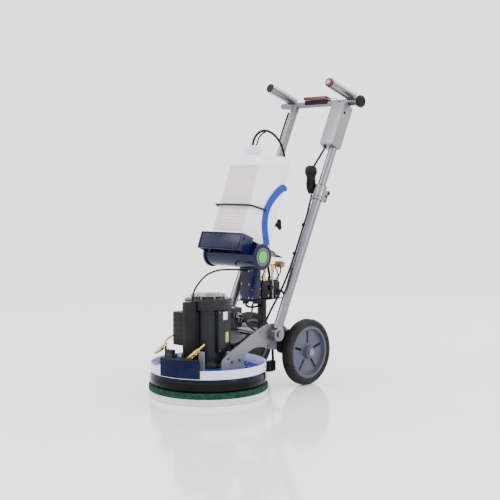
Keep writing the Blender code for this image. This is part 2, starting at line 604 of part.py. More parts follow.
def tank():
    """Blow-moulded canister: straight sides that lean back, a rising top and an upright neck."""
    wall, top = 0.003, NECK_YZ[1]
    hx, hn = TANK_HX, TANK_HN
    foot = TANK_FOOT
    rings = [rounded_ring(hx - 0.006, hn - 0.006, 0.020, foot), rounded_ring(hx, hn, 0.024, foot + 0.007),
             rounded_ring(hx, hn, 0.024, 0.262), rounded_ring(hx, hn, 0.024, 0.287, 0.30),
             rounded_ring(hx - 0.005, hn - 0.004, 0.024, 0.309, 0.42),
             rounded_ring(hx - 0.018, hn - 0.016, 0.026, 0.3215, 0.46, (0, 0.002)),
             neck_ring(0.030, top - 0.004), neck_ring(NECK_R, top), neck_ring(NECK_R, top + 0.022),
             neck_ring(0.022, top + 0.022), neck_ring(0.022, top - 0.007),
             rounded_ring(hx - 0.021, hn - 0.019, 0.024, 0.318, 0.46, (0, 0.002)),
             rounded_ring(hx - 0.008, hn - 0.007, 0.022, 0.306, 0.42),
             rounded_ring(hx - wall, hn - wall, 0.021, 0.285, 0.30),
             rounded_ring(hx - wall, hn - wall, 0.021, 0.261),
             rounded_ring(hx - wall, hn - wall, 0.021, foot + 0.009),
             rounded_ring(hx - 0.009, hn - 0.009, 0.017, foot + wall)]
    finish(loft("tank", rings), "tank_plastic")
    low, high = top + 0.0035, top + 0.031
    cap = [(NECK_R + GAP * 2, low), (0.0315, low), (0.0315, high - 0.002), (0.0300, high), (0.010, high),
           (0.010, high - 0.008), (NECK_R + GAP * 2, high - 0.008)]
    place = (NECK_X, NECK_YZ[0], 0)
    finish(origin_at(turned("tank_cap", cap, 24, place), (NECK_X, NECK_YZ[0], low)), "tank_plastic")


def cradle():
    """Folded tray under the tank with front and side aprons, a rear shelf and a back rest."""
    plan = [(-0.1055, -0.088), (-0.088, -0.088), (-0.088, -0.150), (0.088, -0.150), (0.088, -0.088),
            (0.1055, -0.088), (0.1055, 0.1015), (-0.1055, 0.1015)]
    floor = prism("cradle", plan, -0.0215, -0.0185, on_tank)
    parts = [block("apron", (-0.107, 0.100, -0.0730), (0.107, 0.103, -0.0080), 0, on_tank)]
    for low, high in ((0.104, 0.1066), (-0.1066, -0.104)):
        parts.append(block("side", (low, 0.046, -0.0726), (high, 0.1014, -0.0084), 0, on_tank))
    rest = [(-0.050, -0.020), (0.062, -0.020), (0.062, 0.065), (0.055, 0.090), (0.035, 0.090), (-0.050, 0.040)]
    parts.append(prism("rest", rest, -0.0860, -0.0830, lambda u, v, depth: on_tank(u, depth, v)))
    finish(join(floor, *parts), "navy_paint")
    wall, inner = 0.003, DRUM_R - 0.003
    half, rim = DRUM_X, DRUM_X - 0.010
    centre = on_tank(0, 0, DRUM_A)
    profile = [(0.006, -half), (FLANGE_R, -half), (FLANGE_R, -rim), (DRUM_R, -rim), (DRUM_R, rim),
               (FLANGE_R, rim), (FLANGE_R, half), (0, half), (0, half - wall), (inner, half - wall),
               (inner, wall - half), (0.006, wall - half)]
    finish(turned("drum", profile, 26, centre, (1, 0, 0)), "navy_paint")


def tank_straps():
    """Curved side strips and the rod across the tank's front."""
    centre = [(0.2150, 0.5292), (0.2110, 0.5500), (0.2050, 0.5850), (0.2045, 0.6200), (0.2130, 0.6550),
              (0.2310, 0.6850), (0.2560, 0.7100), (0.2810, 0.7290), (0.3060, 0.7400)]
    half = 0.015
    left, right = [], []
    for k, point in enumerate(centre):
        before, after = Vector(centre[max(k - 1, 0)]), Vector(centre[min(k + 1, len(centre) - 1)])
        along = (after - before).normalized()
        left.append(Vector(point) + half * Vector((-along[1], along[0])))
        right.append(Vector(point) - half * Vector((-along[1], along[0])))
    outline = [tuple(p) for p in left + [Vector((0.323, 0.742)), Vector((0.331, 0.726))] + right[::-1]]
    for name, side in SIDES:
        near, far = sorted((side * (TANK_HX + GAP), side * (TANK_HX + 0.0035)))
        finish(prism(f"strap_{name}", outline, near, far, along_x), "blue_paint")
    x, front, z = TANK_HX + 0.0082, 0.1245, 0.6800
    points = [(x, 0.204, 0.660), (x, 0.183, 0.665), (x, 0.156, 0.6715), (x - 0.0025, 0.136, 0.6770),
              (x - 0.0130, front, z), (x - 0.030, front - 0.002, z + 0.0005)]
    course = points + [(-px, py, pz) for px, py, pz in points[::-1]]
    hose("tank_hoop", course, 0.0042, "navy_paint", 2)
    x, a = 0.045, 0.079
    start = on_tank(x, -0.0883, a)
    end = start + Vector((0, 0.046, 0.0063))
    knob = rod("tank_knob", start, end, 0.0045, 12)
    join(knob, rod("grip", end - (end - start) * 0.05, end + Vector((0, 0.014, 0.0019)), 0.0205, 20))
    finish(origin_at(knob, start), "black_plastic")


def pump():
    base = PUMP_DECK_Z[1] + GAP
    finish(block("pump_motor", (-0.025, 0.194, base), (0.025, 0.254, 0.445), 0.002), "navy_paint")
    head = block("pump_head", (-0.0245, 0.2545, base), (0.030, 0.356, 0.385), 0.003)
    finish(cut(head, block("web", (0.022, 0.300, base - 0.01), (0.04, 0.318, 0.39))), "black_plastic")
    pipe = rod("brass_fittings", (0.012, 0.282, 0.3853), (0.012, 0.282, 0.412), 0.0080, 6)
    join(pipe, rod("riser", (0.012, 0.282, 0.410), (0.012, 0.300, 0.452), 0.0055, 10),
         rod("tee", (0.012, 0.292, 0.449), (0.012, 0.356, 0.449), 0.0075, 12),
         rod("regulator", (0.014, 0.352, 0.449), (0.046, 0.352, 0.449), 0.0130, 16),
         rod("drop", (0.012, 0.330, 0.449), (0.012, 0.330, 0.3853), 0.0045, 10),
         rod("nut", (0.012, 0.330, 0.398), (0.012, 0.330, 0.3853), 0.0075, 6))
    finish(pipe, "brass")
    course = [(NECK_X, NECK_YZ[0], NECK_YZ[1] + 0.0225), (NECK_X, NECK_YZ[0] + 0.001, 0.906),
              (-0.011, 0.258, 0.931), (-0.009, 0.282, 0.951), (-0.006, 0.315, 0.957), (-0.003, 0.351, 0.945),
              (0, 0.385, 0.916), (0, 0.406, 0.880), (0, 0.416, 0.840), (-0.003, 0.414, 0.800),
              (-0.010, 0.396, 0.745), (-0.018, 0.366, 0.690), (-0.022, 0.342, 0.630), (-0.022, 0.330, 0.570),
              (-0.020, 0.327, 0.510), (-0.016, 0.334, 0.450), (-0.014, 0.341, 0.410), (-0.014, 0.3435, 0.3862)]
    hose("suction_hose", course, 0.0048, "rubber", 2)


pads_and_driver()
gear_train()
deck_and_bumper()
motor()
motor_boxes()
spray_bar_and_nozzles()
arms()
axle_carrier()
wheels()
lower_handle()
upper_handle()
tank()
cradle()
tank_straps()
pump()
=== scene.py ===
"""Looks of the walk-behind concrete grinder: studio, procedural materials and the fine surface of each part.

Metres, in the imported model's frame: +Z up, -Y the grinding head, +Y the operator, +X the machine's left.
"""
import json
from math import cos, pi, radians, sin

import bmesh
import bpy
from mathutils import Matrix, Vector, noise

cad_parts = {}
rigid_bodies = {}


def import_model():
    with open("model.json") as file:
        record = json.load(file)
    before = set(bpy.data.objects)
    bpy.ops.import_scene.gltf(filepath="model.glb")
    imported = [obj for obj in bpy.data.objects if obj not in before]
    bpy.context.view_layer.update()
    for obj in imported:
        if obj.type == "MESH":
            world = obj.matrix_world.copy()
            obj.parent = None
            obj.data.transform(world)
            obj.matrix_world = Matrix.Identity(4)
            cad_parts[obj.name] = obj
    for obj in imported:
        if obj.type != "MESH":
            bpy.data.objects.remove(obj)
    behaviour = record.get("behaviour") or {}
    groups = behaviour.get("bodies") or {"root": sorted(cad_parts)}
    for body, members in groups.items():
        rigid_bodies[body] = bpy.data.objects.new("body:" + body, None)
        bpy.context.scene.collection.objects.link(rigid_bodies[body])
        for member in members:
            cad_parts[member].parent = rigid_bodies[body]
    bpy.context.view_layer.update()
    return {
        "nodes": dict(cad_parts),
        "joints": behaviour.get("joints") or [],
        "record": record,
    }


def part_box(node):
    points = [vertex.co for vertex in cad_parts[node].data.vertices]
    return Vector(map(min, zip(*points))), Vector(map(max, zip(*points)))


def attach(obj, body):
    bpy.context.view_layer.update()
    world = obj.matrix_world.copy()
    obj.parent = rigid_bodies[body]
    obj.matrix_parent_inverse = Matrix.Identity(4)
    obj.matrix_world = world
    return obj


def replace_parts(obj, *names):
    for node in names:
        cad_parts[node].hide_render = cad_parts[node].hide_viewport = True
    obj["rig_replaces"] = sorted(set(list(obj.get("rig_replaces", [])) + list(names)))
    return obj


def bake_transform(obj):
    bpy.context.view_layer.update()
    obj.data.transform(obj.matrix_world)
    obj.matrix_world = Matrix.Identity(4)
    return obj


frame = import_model()

BODY_OF = {node: body for body, group in frame["record"]["behaviour"]["bodies"].items() for node in group}
SLOT_OF = {part["node"]: part["material_slot"] for part in frame["record"]["subparts"]}
JOINT = {joint["name"]: joint for joint in frame["joints"]}
SIDES = (("left", 1), ("right", -1))

# ---------------------------------------------------------------- places read from the frame
PIVOT = Vector(JOINT["handle_tilt"]["pos_m"])
TUBE_UP = Vector(JOINT["handle_extend"]["axis"]).normalized()
TUBE_BACK = Vector((0, TUBE_UP.z, -TUBE_UP.y))
AXLE = Vector(JOINT["left_wheel_spin"]["pos_m"])
PAD_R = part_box("abrasive_pad")[1][0]
WHEEL_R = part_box("tyre_left")[1][2] - AXLE.z
TUBE_X = sum(corner[0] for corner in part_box("upper_tube_left")) / 2
BAR = Vector([sum(values) / 2 for values in zip(*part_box("crossbar"))])
TANK_LEAN = radians(21.0)
TANK_BASE = Vector((0, 0.17, 0.553))
NECK_X = sum(corner[0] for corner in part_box("tank_cap")) / 2
NECK_Y, NECK_Z = JOINT["tank_cap_turn"]["pos_m"][1], 0.868
CAMERA_AT, CAMERA_PITCH, CAMERA_TURN = (2.5435, -2.4683, 0.7606), 90 - 3.89, 43.43
CAMERA_LENS, CAMERA_SENSOR = 71.3, 36


def on_tube(s, x=0.0, back=0.0):
    """Point at distance s up the handle tube, offset towards the operator by back."""
    return Vector((x, PIVOT.y, PIVOT.z)) + TUBE_UP * s + TUBE_BACK * back


def on_handle(x, back, s):
    """The same point for add_block, which gives its three coordinates in this order."""
    return on_tube(s, x, back)


def on_tank(x, n, a):
    """Point in the leaning tank's frame: n forward of its centre plane, a up its axis."""
    y = a * sin(TANK_LEAN) - n * cos(TANK_LEAN)
    z = a * cos(TANK_LEAN) + n * sin(TANK_LEAN)
    return TANK_BASE + Vector((x, y, z))


# ---------------------------------------------------------------- materials
LOOK = {}


def surface(name, colour, roughness, metallic=0.0, tint=0.06, scale=9.0, scuff_and_highlight_colour=None, scuff_and_highlight=0.0, scuff_and_highlight_scale=60.0,
            grain=300.0, bump=0.08, stretch=(1, 1, 1), spread=0.07, dust=0.0, **sockets):
    """Adds a procedural finish to LOOK: blotchy tint, patches of a second colour (scuffs; on the splash
    guard, painted highlights), varied roughness, grain and dust.
    """
    material = bpy.data.materials.new(name)
    material.use_nodes = True
    tree = material.node_tree
    shader = tree.nodes["Principled BSDF"]
    shader.inputs["Metallic"].default_value = metallic
    for socket, value in sockets.items():
        shader.inputs[socket.replace("_", " ")].default_value = value
    place = tree.nodes.new("ShaderNodeTexCoord").outputs["Object"]
    mapping = tree.nodes.new("ShaderNodeMapping")
    mapping.inputs["Scale"].default_value = stretch
    tree.links.new(place, mapping.inputs["Vector"])

    def noise_of(size, detail, source=place, rough=0.6):
        node = tree.nodes.new("ShaderNodeTexNoise")
        node.inputs["Scale"].default_value = size
        node.inputs["Detail"].default_value = detail
        node.inputs["Roughness"].default_value = rough
        tree.links.new(source, node.inputs["Vector"])
        return node.outputs["Fac"]

    def remap(value, low, high, to_low, to_high):
        node = tree.nodes.new("ShaderNodeMapRange")
        for socket, number in (("From Min", low), ("From Max", high),
                               ("To Min", to_low), ("To Max", to_high)):
            node.inputs[socket].default_value = number
        tree.links.new(value, node.inputs["Value"])
        return node.outputs["Result"]

    def mix(factor, low, high):
        node = tree.nodes.new("ShaderNodeMix")
        node.data_type = "RGBA"
        tree.links.new(factor, node.inputs["Factor"])
        for socket, source in ((node.inputs[6], low), (node.inputs[7], high)):
            if isinstance(source, tuple):
                socket.default_value = (*source, 1.0)
            else:
                tree.links.new(source, socket)
        return node.outputs[2]

    darker = tuple(channel * (1 - tint) for channel in colour)
    lighter = tuple(min(1.0, channel * (1 + tint) + tint * 0.02) for channel in colour)
    colour_out = mix(remap(noise_of(scale, 4), 0.35, 0.65, 0, 1), darker, lighter)
    # patches of the second colour: scuffs on most finishes, painted highlights on the splash guard
    if scuff_and_highlight:
        scuff_and_highlight_patches = remap(noise_of(scuff_and_highlight_scale, 8, mapping.outputs["Vector"], 0.7), 0.6, 0.72, 0, scuff_and_highlight)
        colour_out = mix(scuff_and_highlight_patches, colour_out, scuff_and_highlight_colour or lighter)
    if dust:
        normal = tree.nodes.new("ShaderNodeSeparateXYZ")
        tree.links.new(tree.nodes.new("ShaderNodeNewGeometry").outputs["Normal"], normal.inputs["Vector"])
        layer = tree.nodes.new("ShaderNodeMath")
        layer.operation = "MULTIPLY"
        tree.links.new(remap(normal.outputs["Z"], 0.5, 1.0, 0, dust), layer.inputs[0])
        tree.links.new(remap(noise_of(32.0, 6), 0.35, 0.7, 0, 1), layer.inputs[1])
        colour_out = mix(layer.outputs["Value"], colour_out, (0.5, 0.49, 0.47))
    tree.links.new(colour_out, shader.inputs["Base Color"])
    low, high = max(0.03, roughness - spread), min(1.0, roughness + spread)
    rough_out = remap(noise_of(26.0, 5, mapping.outputs["Vector"]), 0.35, 0.65, low, high)
    tree.links.new(rough_out, shader.inputs["Roughness"])
    relief = tree.nodes.new("ShaderNodeBump")
    relief.inputs["Strength"].default_value = bump
    relief.inputs["Distance"].default_value = 0.001
    tree.links.new(noise_of(grain, 3, mapping.outputs["Vector"]), relief.inputs["Height"])
    tree.links.new(relief.outputs["Normal"], shader.inputs["Normal"])
    LOOK[name] = material
    return material


ALONG_TUBE = (1.0, 1.0, 0.06)
ALONG_BAR = (0.06, 1.0, 1.0)
DARK = {"Specular_IOR_Level": 0.14}
surface("white_felt", (0.6, 0.58, 0.57), 0.92, tint=0.1, scale=30, scuff_and_highlight_colour=(0.42, 0.39, 0.38), scuff_and_highlight=0.35,
        grain=700, bump=0.9, Sheen_Weight=0.3, Sheen_Roughness=0.6)
surface("green_felt", (0.003, 0.034, 0.02), 0.88, tint=0.35, scale=60, scuff_and_highlight_colour=(0.014, 0.1, 0.065), scuff_and_highlight=0.5,
        grain=600, bump=1.0, **DARK)
surface("bumper", (0.0009, 0.0007, 0.0008), 0.2, tint=0.2, scuff_and_highlight_colour=(0.006, 0.0055, 0.005), scuff_and_highlight=0.25,
        grain=240, bump=0.03, Specular_IOR_Level=0.07)
surface("rubber", (0.004, 0.004, 0.0045), 0.42, tint=0.2, scuff_and_highlight_colour=(0.018, 0.018, 0.018), scuff_and_highlight=0.3, grain=900,
        bump=0.12, **DARK)
surface("tyre", (0.0075, 0.0055, 0.006), 0.6, tint=0.3, scale=20, scuff_and_highlight_colour=(0.032, 0.027, 0.027), scuff_and_highlight=0.45,
        grain=800, bump=0.35, **DARK)
surface("rim_paint", (0.56, 0.57, 0.72), 0.22, tint=0.03, scuff_and_highlight_colour=(0.36, 0.37, 0.47), scuff_and_highlight=0.1, grain=420,
        bump=0.03, dust=0.12, Coat_Weight=0.4, Coat_Roughness=0.1)
surface("navy_paint", (0.001, 0.0026, 0.026), 0.22, tint=0.15, scuff_and_highlight_colour=(0.018, 0.026, 0.075), scuff_and_highlight=0.12,
        grain=420, bump=0.04, dust=0.01, Specular_IOR_Level=0.2)
surface("trim_paint", (0.0003, 0.0008, 0.009), 0.1, tint=0.2, scuff_and_highlight_colour=(0.004, 0.008, 0.04), scuff_and_highlight=0.1,
        grain=420, bump=0.02, spread=0.03, Specular_IOR_Level=0.1)
# the splash guard's brighter blue patches are painted highlights of its glossy paint, not scuffs
surface("guard_paint", (0.0003, 0.0016, 0.022), 0.2, tint=0.3, scuff_and_highlight_colour=(0.002, 0.014, 0.11), scuff_and_highlight=0.7,
        scuff_and_highlight_scale=22, grain=420, bump=0.02, spread=0.05, Specular_IOR_Level=0.07)
surface("blue_paint", (0.002, 0.026, 0.255), 0.36, tint=0.08, scuff_and_highlight_colour=(0.012, 0.06, 0.33), scuff_and_highlight=0.12,
        grain=420, bump=0.05, Specular_IOR_Level=0.3)
surface("deck_blue", (0.015, 0.065, 0.42), 0.1, tint=0.1, scuff_and_highlight_colour=(0.1, 0.2, 0.5), scuff_and_highlight=0.15, grain=420,
        bump=0.03, dust=0.1, Coat_Weight=0.7, Coat_Roughness=0.06)
surface("motor_paint", (0.0066, 0.0068, 0.0096), 0.32, tint=0.14, scuff_and_highlight_colour=(0.018, 0.019, 0.023), scuff_and_highlight=0.2,
        grain=520, bump=0.12, dust=0.02, Specular_IOR_Level=0.2)
surface("frame_paint", (0.15, 0.146, 0.17), 0.36, 0.25, tint=0.07, scuff_and_highlight_colour=(0.34, 0.34, 0.37), scuff_and_highlight=0.18,
        grain=600, bump=0.16, dust=0.06)
surface("dark_frame", (0.011, 0.011, 0.0125), 0.38, 0.2, tint=0.2, scuff_and_highlight_colour=(0.05, 0.05, 0.052), scuff_and_highlight=0.25,
        grain=520, bump=0.14, dust=0.03, **DARK)
surface("black_plastic", (0.0038, 0.0038, 0.0042), 0.38, tint=0.2, scuff_and_highlight_colour=(0.016, 0.016, 0.017), scuff_and_highlight=0.25,
        grain=1100, bump=0.16, **DARK)
surface("hub_plastic", (0.05, 0.054, 0.08), 0.4, tint=0.06, scuff_and_highlight_colour=(0.085, 0.09, 0.125), scuff_and_highlight=0.2, grain=900,
        bump=0.12, Specular_IOR_Level=0.3)
surface("tank_plastic", (0.8, 0.79, 0.84), 0.3, tint=0.015, scale=7, scuff_and_highlight_colour=(0.78, 0.72, 0.74), scuff_and_highlight=0.15,
        scuff_and_highlight_scale=8, grain=260, bump=0.05, Subsurface_Weight=0.3, Subsurface_Scale=0.02, IOR=1.5)
# painted shade: the darker pinkish-grey of the tank's front centre stands for that face lying in shade
surface("front_shade_plastic", (0.6, 0.53, 0.54), 0.42, tint=0.05, scale=9, scuff_and_highlight_colour=(0.66, 0.6, 0.6), scuff_and_highlight=0.4,
        scuff_and_highlight_scale=12, grain=260, bump=0.08, Subsurface_Weight=0.3, Subsurface_Scale=0.02, IOR=1.5)
surface("red_plastic", (0.075, 0.0022, 0.004), 0.3, tint=0.15, scuff_and_highlight_colour=(0.22, 0.03, 0.03), scuff_and_highlight=0.2, grain=900,
        bump=0.1, Specular_IOR_Level=0.4)
surface("tube_metal", (0.165, 0.165, 0.18), 0.26, 0.85, tint=0.05, scuff_and_highlight_colour=(0.1, 0.1, 0.112), scuff_and_highlight=0.25,
        scuff_and_highlight_scale=45, grain=520, bump=0.07, stretch=ALONG_TUBE)
surface("box_metal", (0.215, 0.212, 0.226), 0.4, 0.65, tint=0.05, scuff_and_highlight_colour=(0.29, 0.29, 0.305), scuff_and_highlight=0.25,
        scuff_and_highlight_scale=120, grain=700, bump=0.14, stretch=ALONG_TUBE)
surface("steel", (0.19, 0.19, 0.205), 0.26, 1.0, tint=0.08, scuff_and_highlight_colour=(0.18, 0.18, 0.18), scuff_and_highlight=0.3, grain=500,
        bump=0.08, stretch=ALONG_BAR)
surface("brass", (0.6, 0.42, 0.12), 0.22, 1.0, tint=0.18, scale=60, scuff_and_highlight_colour=(0.26, 0.13, 0.03), scuff_and_highlight=0.55,
        scuff_and_highlight_scale=140, grain=700, bump=0.1)
surface("copper", (0.34, 0.13, 0.055), 0.32, 1.0, tint=0.2, scale=60, scuff_and_highlight_colour=(0.12, 0.045, 0.02), scuff_and_highlight=0.5,
        scuff_and_highlight_scale=140, grain=700, bump=0.1)
surface("winding", (0.25, 0.12, 0.06), 0.45, 0.6, tint=0.2, scuff_and_highlight_colour=(0.1, 0.06, 0.04), scuff_and_highlight=0.3)
surface("white_label", (0.62, 0.62, 0.64), 0.45, tint=0.03, scuff_and_highlight_colour=(0.4, 0.4, 0.4), scuff_and_highlight=0.2)
surface("yellow_label", (0.4, 0.36, 0.035), 0.45, tint=0.05, scuff_and_highlight_colour=(0.3, 0.26, 0.06), scuff_and_highlight=0.2)
surface("emblem_ring", (0.095, 0.095, 0.105), 0.35, 0.5, tint=0.06, scuff_and_highlight_colour=(0.2, 0.2, 0.2), scuff_and_highlight=0.3)
surface("emblem_face", (0.07, 0.33, 0.055), 0.34, tint=0.05, scale=22, scuff_and_highlight_colour=(0.42, 0.66, 0.5), scuff_and_highlight=0.7,
        scuff_and_highlight_scale=22)
# pale pink centre of the stop button: a painted highlight on the red dome
surface("button_highlight_paint", (0.42, 0.24, 0.25), 0.35, tint=0.05, scuff_and_highlight_colour=(0.5, 0.4, 0.4), scuff_and_highlight=0.2)
surface("amber", (0.16, 0.085, 0.04), 0.3, tint=0.15, scuff_and_highlight_colour=(0.3, 0.2, 0.12), scuff_and_highlight=0.3)
# the look of each record slot that has another name, and the slot of each look that has another name
PAINT = {"pad_felt": "white_felt", "backing_felt": "green_felt", "black_rubber": "rubber",
         "tyre_rubber": "tyre", "deck_paint": "rim_paint", "copper_iron": "winding"}


def look_of(slot):
    return LOOK[PAINT.get(slot, slot)]


# ---------------------------------------------------------------- piece helpers
def piece(obj, look, *stands_for, body="chassis", slot=None, angle=35):
    """Finishes a new object: material, smooth shading, the body it rides on and the nodes it stands for."""
    obj.data.materials.clear()
    obj.data.materials.append(LOOK[look])
    if obj.type == "MESH":
        obj.data.shade_smooth()
        obj.data.set_sharp_from_angle(angle=radians(angle))
    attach(obj, body)
    if stands_for:
        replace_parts(obj, *stands_for)
    return obj


def from_bmesh(name, bm):
    bmesh.ops.recalc_face_normals(bm, faces=bm.faces)
    mesh = bpy.data.meshes.new(name)
    bm.to_mesh(mesh)
    bm.free()
    obj = bpy.data.objects.new(name, mesh)
    bpy.context.collection.objects.link(obj)
    return obj


def finish(name, bm, look, *stands_for, **options):
    """Turns a bmesh into a finished piece."""
    return piece(from_bmesh(name, bm), look, *stands_for, **options)


def skin(bm, rings, capped=True, closed=False):
    """Faces between rings of equal point count."""
    loops = [[bm.verts.new(point) for point in ring] for ring in rings]
    pairs = list(zip(loops, loops[1:])) + ([(loops[-1], loops[0])] if closed else [])
    count = len(loops[0])
    for low, high in pairs:
        for i in range(count):
            j = (i + 1) % count
            bm.faces.new((low[i], low[j], high[j], high[i]))
    if capped and not closed:
        bm.faces.new(loops[0][::-1])
        bm.faces.new(loops[-1])


def axis_frame(origin, direction):
    turn = Vector((0, 0, 1)).rotation_difference(Vector(direction).normalized())
    return Matrix.Translation(Vector(origin)) @ turn.to_matrix().to_4x4()


def add_turned(bm, profile, steps=48, origin=(0, 0, 0), direction=(0, 0, 1), sweep=None):
    """Turns a closed (radius, height) profile about an axis."""
    place = axis_frame(origin, direction)
    start, end = sweep or (0.0, 2 * pi)
    rings = []
    for k in range(steps + (1 if sweep else 0)):
        angle = start + (end - start) * k / steps
        rings.append([place @ Vector((r * cos(angle), r * sin(angle), h)) for r, h in profile])
    skin(bm, rings, capped=bool(sweep), closed=not sweep)
    bmesh.ops.remove_doubles(bm, verts=bm.verts, dist=1e-6)


def add_rod(bm, a, b, radius, sides=24, chamfer=0.0006, end_radius=None):
    """Round bar with chamfered ends; six sides make a nut."""
    a, b = Vector(a), Vector(b)
    length = (b - a).length
    far = end_radius if end_radius is not None else radius
    place = axis_frame(a, b - a)
    rings = []
    for r, h in ((radius - chamfer, 0), (radius, chamfer), (far, length - chamfer), (far - chamfer, length)):
        rings.append([place @ Vector((r * cos(2 * pi * k / sides), r * sin(2 * pi * k / sides), h))
                      for k in range(sides)])
    skin(bm, rings)


def add_rods(bm, *rows):
    """Several rods: each row holds what add_rod is given."""
    for row in rows:
        add_rod(bm, *row)


def add_block(bm, low, high, bevel=0.001, place=None, segments=2):
    """Box from corner to corner with rounded edges."""
    part = bmesh.new()
    bmesh.ops.create_cube(part, size=1.0)
    for vert in part.verts:
        vert.co = [low[i] + (vert.co[i] + 0.5) * (high[i] - low[i]) for i in range(3)]
    if bevel:
        bmesh.ops.bevel(part, geom=part.edges[:], offset=bevel, segments=segments, profile=0.7,
                        affect="EDGES")
    for vert in part.verts:
        vert.co = place(*vert.co) if place else vert.co
    mesh = bpy.data.meshes.new("part")
    part.to_mesh(mesh)
    part.free()
    bm.from_mesh(mesh)
    bpy.data.meshes.remove(mesh)


def add_bolt(bm, at, out, radius=0.004, height=0.003):
    """Hexagon head on a washer, standing out from a face."""
    at, out = Vector(at), Vector(out).normalized()
    add_rod(bm, at - out * 0.0004, at + out * 0.0008, radius * 1.35, 20, 0.0002)
    add_rod(bm, at + out * 0.0006, at + out * (0.0008 + height), radius, 6, 0.0005)


def turned(name, profile, *rest, **named):
    bm = bmesh.new()
    add_turned(bm, profile, *rest, **named)
    return from_bmesh(name, bm)


def smooth_course(points, samples=8):
    """Catmull-Rom course through the points."""
    pts = [Vector(p) for p in points]
    ends = [2 * pts[0] - pts[1]] + pts + [2 * pts[-1] - pts[-2]]
    course = []
    for k in range(1, len(ends) - 2):
        p0, p1, p2, p3 = ends[k - 1:k + 3]
        for step in range(samples):
            t = step / samples
            course.append(0.5 * (2 * p1 + (p2 - p0) * t + (2 * p0 - 5 * p1 + 4 * p2 - p3) * t * t
                                 + (3 * p1 - p0 - 3 * p2 + p3) * t ** 3))
    course.append(pts[-1])
    return course


def hose(name, points, radius, *stands_for, look="rubber", body="chassis", slot=None, samples=8, sides=14):
    """Round hose or cable as a mesh tube along a smooth course."""
    course = smooth_course(points, samples)
    bm = bmesh.new()
    rings = []
    normal = Vector((0.31, 0.27, 0.91))
    for k, point in enumerate(course):
        along = (course[min(k + 1, len(course) - 1)] - course[max(k - 1, 0)]).normalized()
        normal = (normal - along * normal.dot(along)).normalized()
        side = along.cross(normal)
        rings.append([point + radius * (cos(2 * pi * i / sides) * normal + sin(2 * pi * i / sides) * side)
                      for i in range(sides)])
    skin(bm, rings)
    obj = from_bmesh(name, bm)
    if body:
        piece(obj, look, *stands_for, body=body, slot=slot, angle=60)
    return obj


def soften(node, width, segments=2, look=None):
    """Copy of a CAD part with flat faces rejoined and its hard edges rounded, standing for that part."""
    bm = bmesh.new()
    bm.from_mesh(frame["nodes"][node].data)
    bmesh.ops.remove_doubles(bm, verts=bm.verts, dist=2e-6)
    bmesh.ops.dissolve_limit(bm, angle_limit=radians(1.0), verts=bm.verts, edges=bm.edges)
    hard = [edge for edge in bm.edges if edge.is_manifold and edge.calc_face_angle(0) > radians(32)]
    bmesh.ops.bevel(bm, geom=hard, offset=width, offset_type="OFFSET", segments=segments, profile=0.6,
                    affect="EDGES", clamp_overlap=True)
    bmesh.ops.triangulate(bm, faces=[face for face in bm.faces if len(face.verts) > 4])
    obj = from_bmesh(node + "_skin", bm)
    slot = SLOT_OF[node]
    return piece(obj, look or PAINT.get(slot, slot), node, body=BODY_OF[node], slot=slot, angle=28)


# ---------------------------------------------------------------- studio
def studio():
    bpy.ops.mesh.primitive_circle_add(vertices=96, radius=40, fill_type="NGON")
    floor = bpy.context.object
    floor.name = "studio_floor"
    floor.data.materials.append(surface("floor", (0.9, 0.9, 0.91), 0.1, tint=0.004, scale=0.8, spread=0.02,
                                        grain=3, bump=0.0, Specular_IOR_Level=0.8))
    world = bpy.data.worlds.new("studio_world")
    world.use_nodes = True
    world.node_tree.nodes["Background"].inputs["Color"].default_value = (1.0, 1.0, 1.02, 1)
    world.node_tree.nodes["Background"].inputs["Strength"].default_value = 2.2
    bpy.context.scene.world = world
    for name, at, size, power in (("key", (-1.6, -2.6, 3.4), 2.2, 90), ("fill", (3.4, 0.6, 2.2), 1.6, 40),
                                  ("rim", (0.8, 3.2, 2.8), 1.8, 60)):
        light = bpy.data.lights.new(name, "AREA")
        light.energy = power
        light.size = size
        lamp = bpy.data.objects.new(name, light)
        lamp.location = at
        aim = Vector((0, 0.2, 0.5)) - Vector(at)
        lamp.rotation_euler = aim.to_track_quat("-Z", "Y").to_euler()
        bpy.context.collection.objects.link(lamp)
    view = bpy.data.cameras.new("camera")
    view.lens = CAMERA_LENS
    view.sensor_width = CAMERA_SENSOR
    camera = bpy.data.objects.new("camera", view)
    camera.location = CAMERA_AT
    camera.rotation_euler = (radians(CAMERA_PITCH), 0, radians(CAMERA_TURN))
    bpy.context.collection.objects.link(camera)
    bpy.context.scene.camera = camera


studio()

# ---------------------------------------------------------------- grinding head
def arc(centre, radius, start, end, steps=6):
    """Points of a circular arc in a (radius, height) profile, angles in degrees."""
    turns = [radians(start + (end - start) * k / steps) for k in range(steps + 1)]
    return [(centre[0] + radius * cos(turn), centre[1] + radius * sin(turn)) for turn in turns]


def pads():
    for node, look, slot in (("abrasive_pad", "white_felt", "pad_felt"),
                             ("backing_pad", "green_felt", "backing_felt")):
        low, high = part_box(node)[0][2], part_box(node)[1][2]
        edge, middle = 0.004, (low + high) / 2
        profile = [(0, low), (0.08, low), (0.16, low)] + arc((PAD_R - edge, low + edge), edge, -90, 0)
        profile += [(PAD_R, middle - 0.002), (PAD_R - 0.0014, middle), (PAD_R, middle + 0.002)]
        profile += arc((PAD_R - edge, high - edge), edge, 0, 90) + [(0.16, high), (0.08, high), (0, high)]
        pad = turned(node + "_skin", profile, 220)
        for vert in pad.data.vertices:
            radial = Vector((vert.co.x, vert.co.y, 0))
            if radial.length > PAD_R - 0.006:
                vert.co -= radial.normalized() * 0.0011 * (0.5 + 0.5 * noise.noise(vert.co * 260))
        piece(pad, look, node, body="grinding_disc", slot=slot, angle=60)


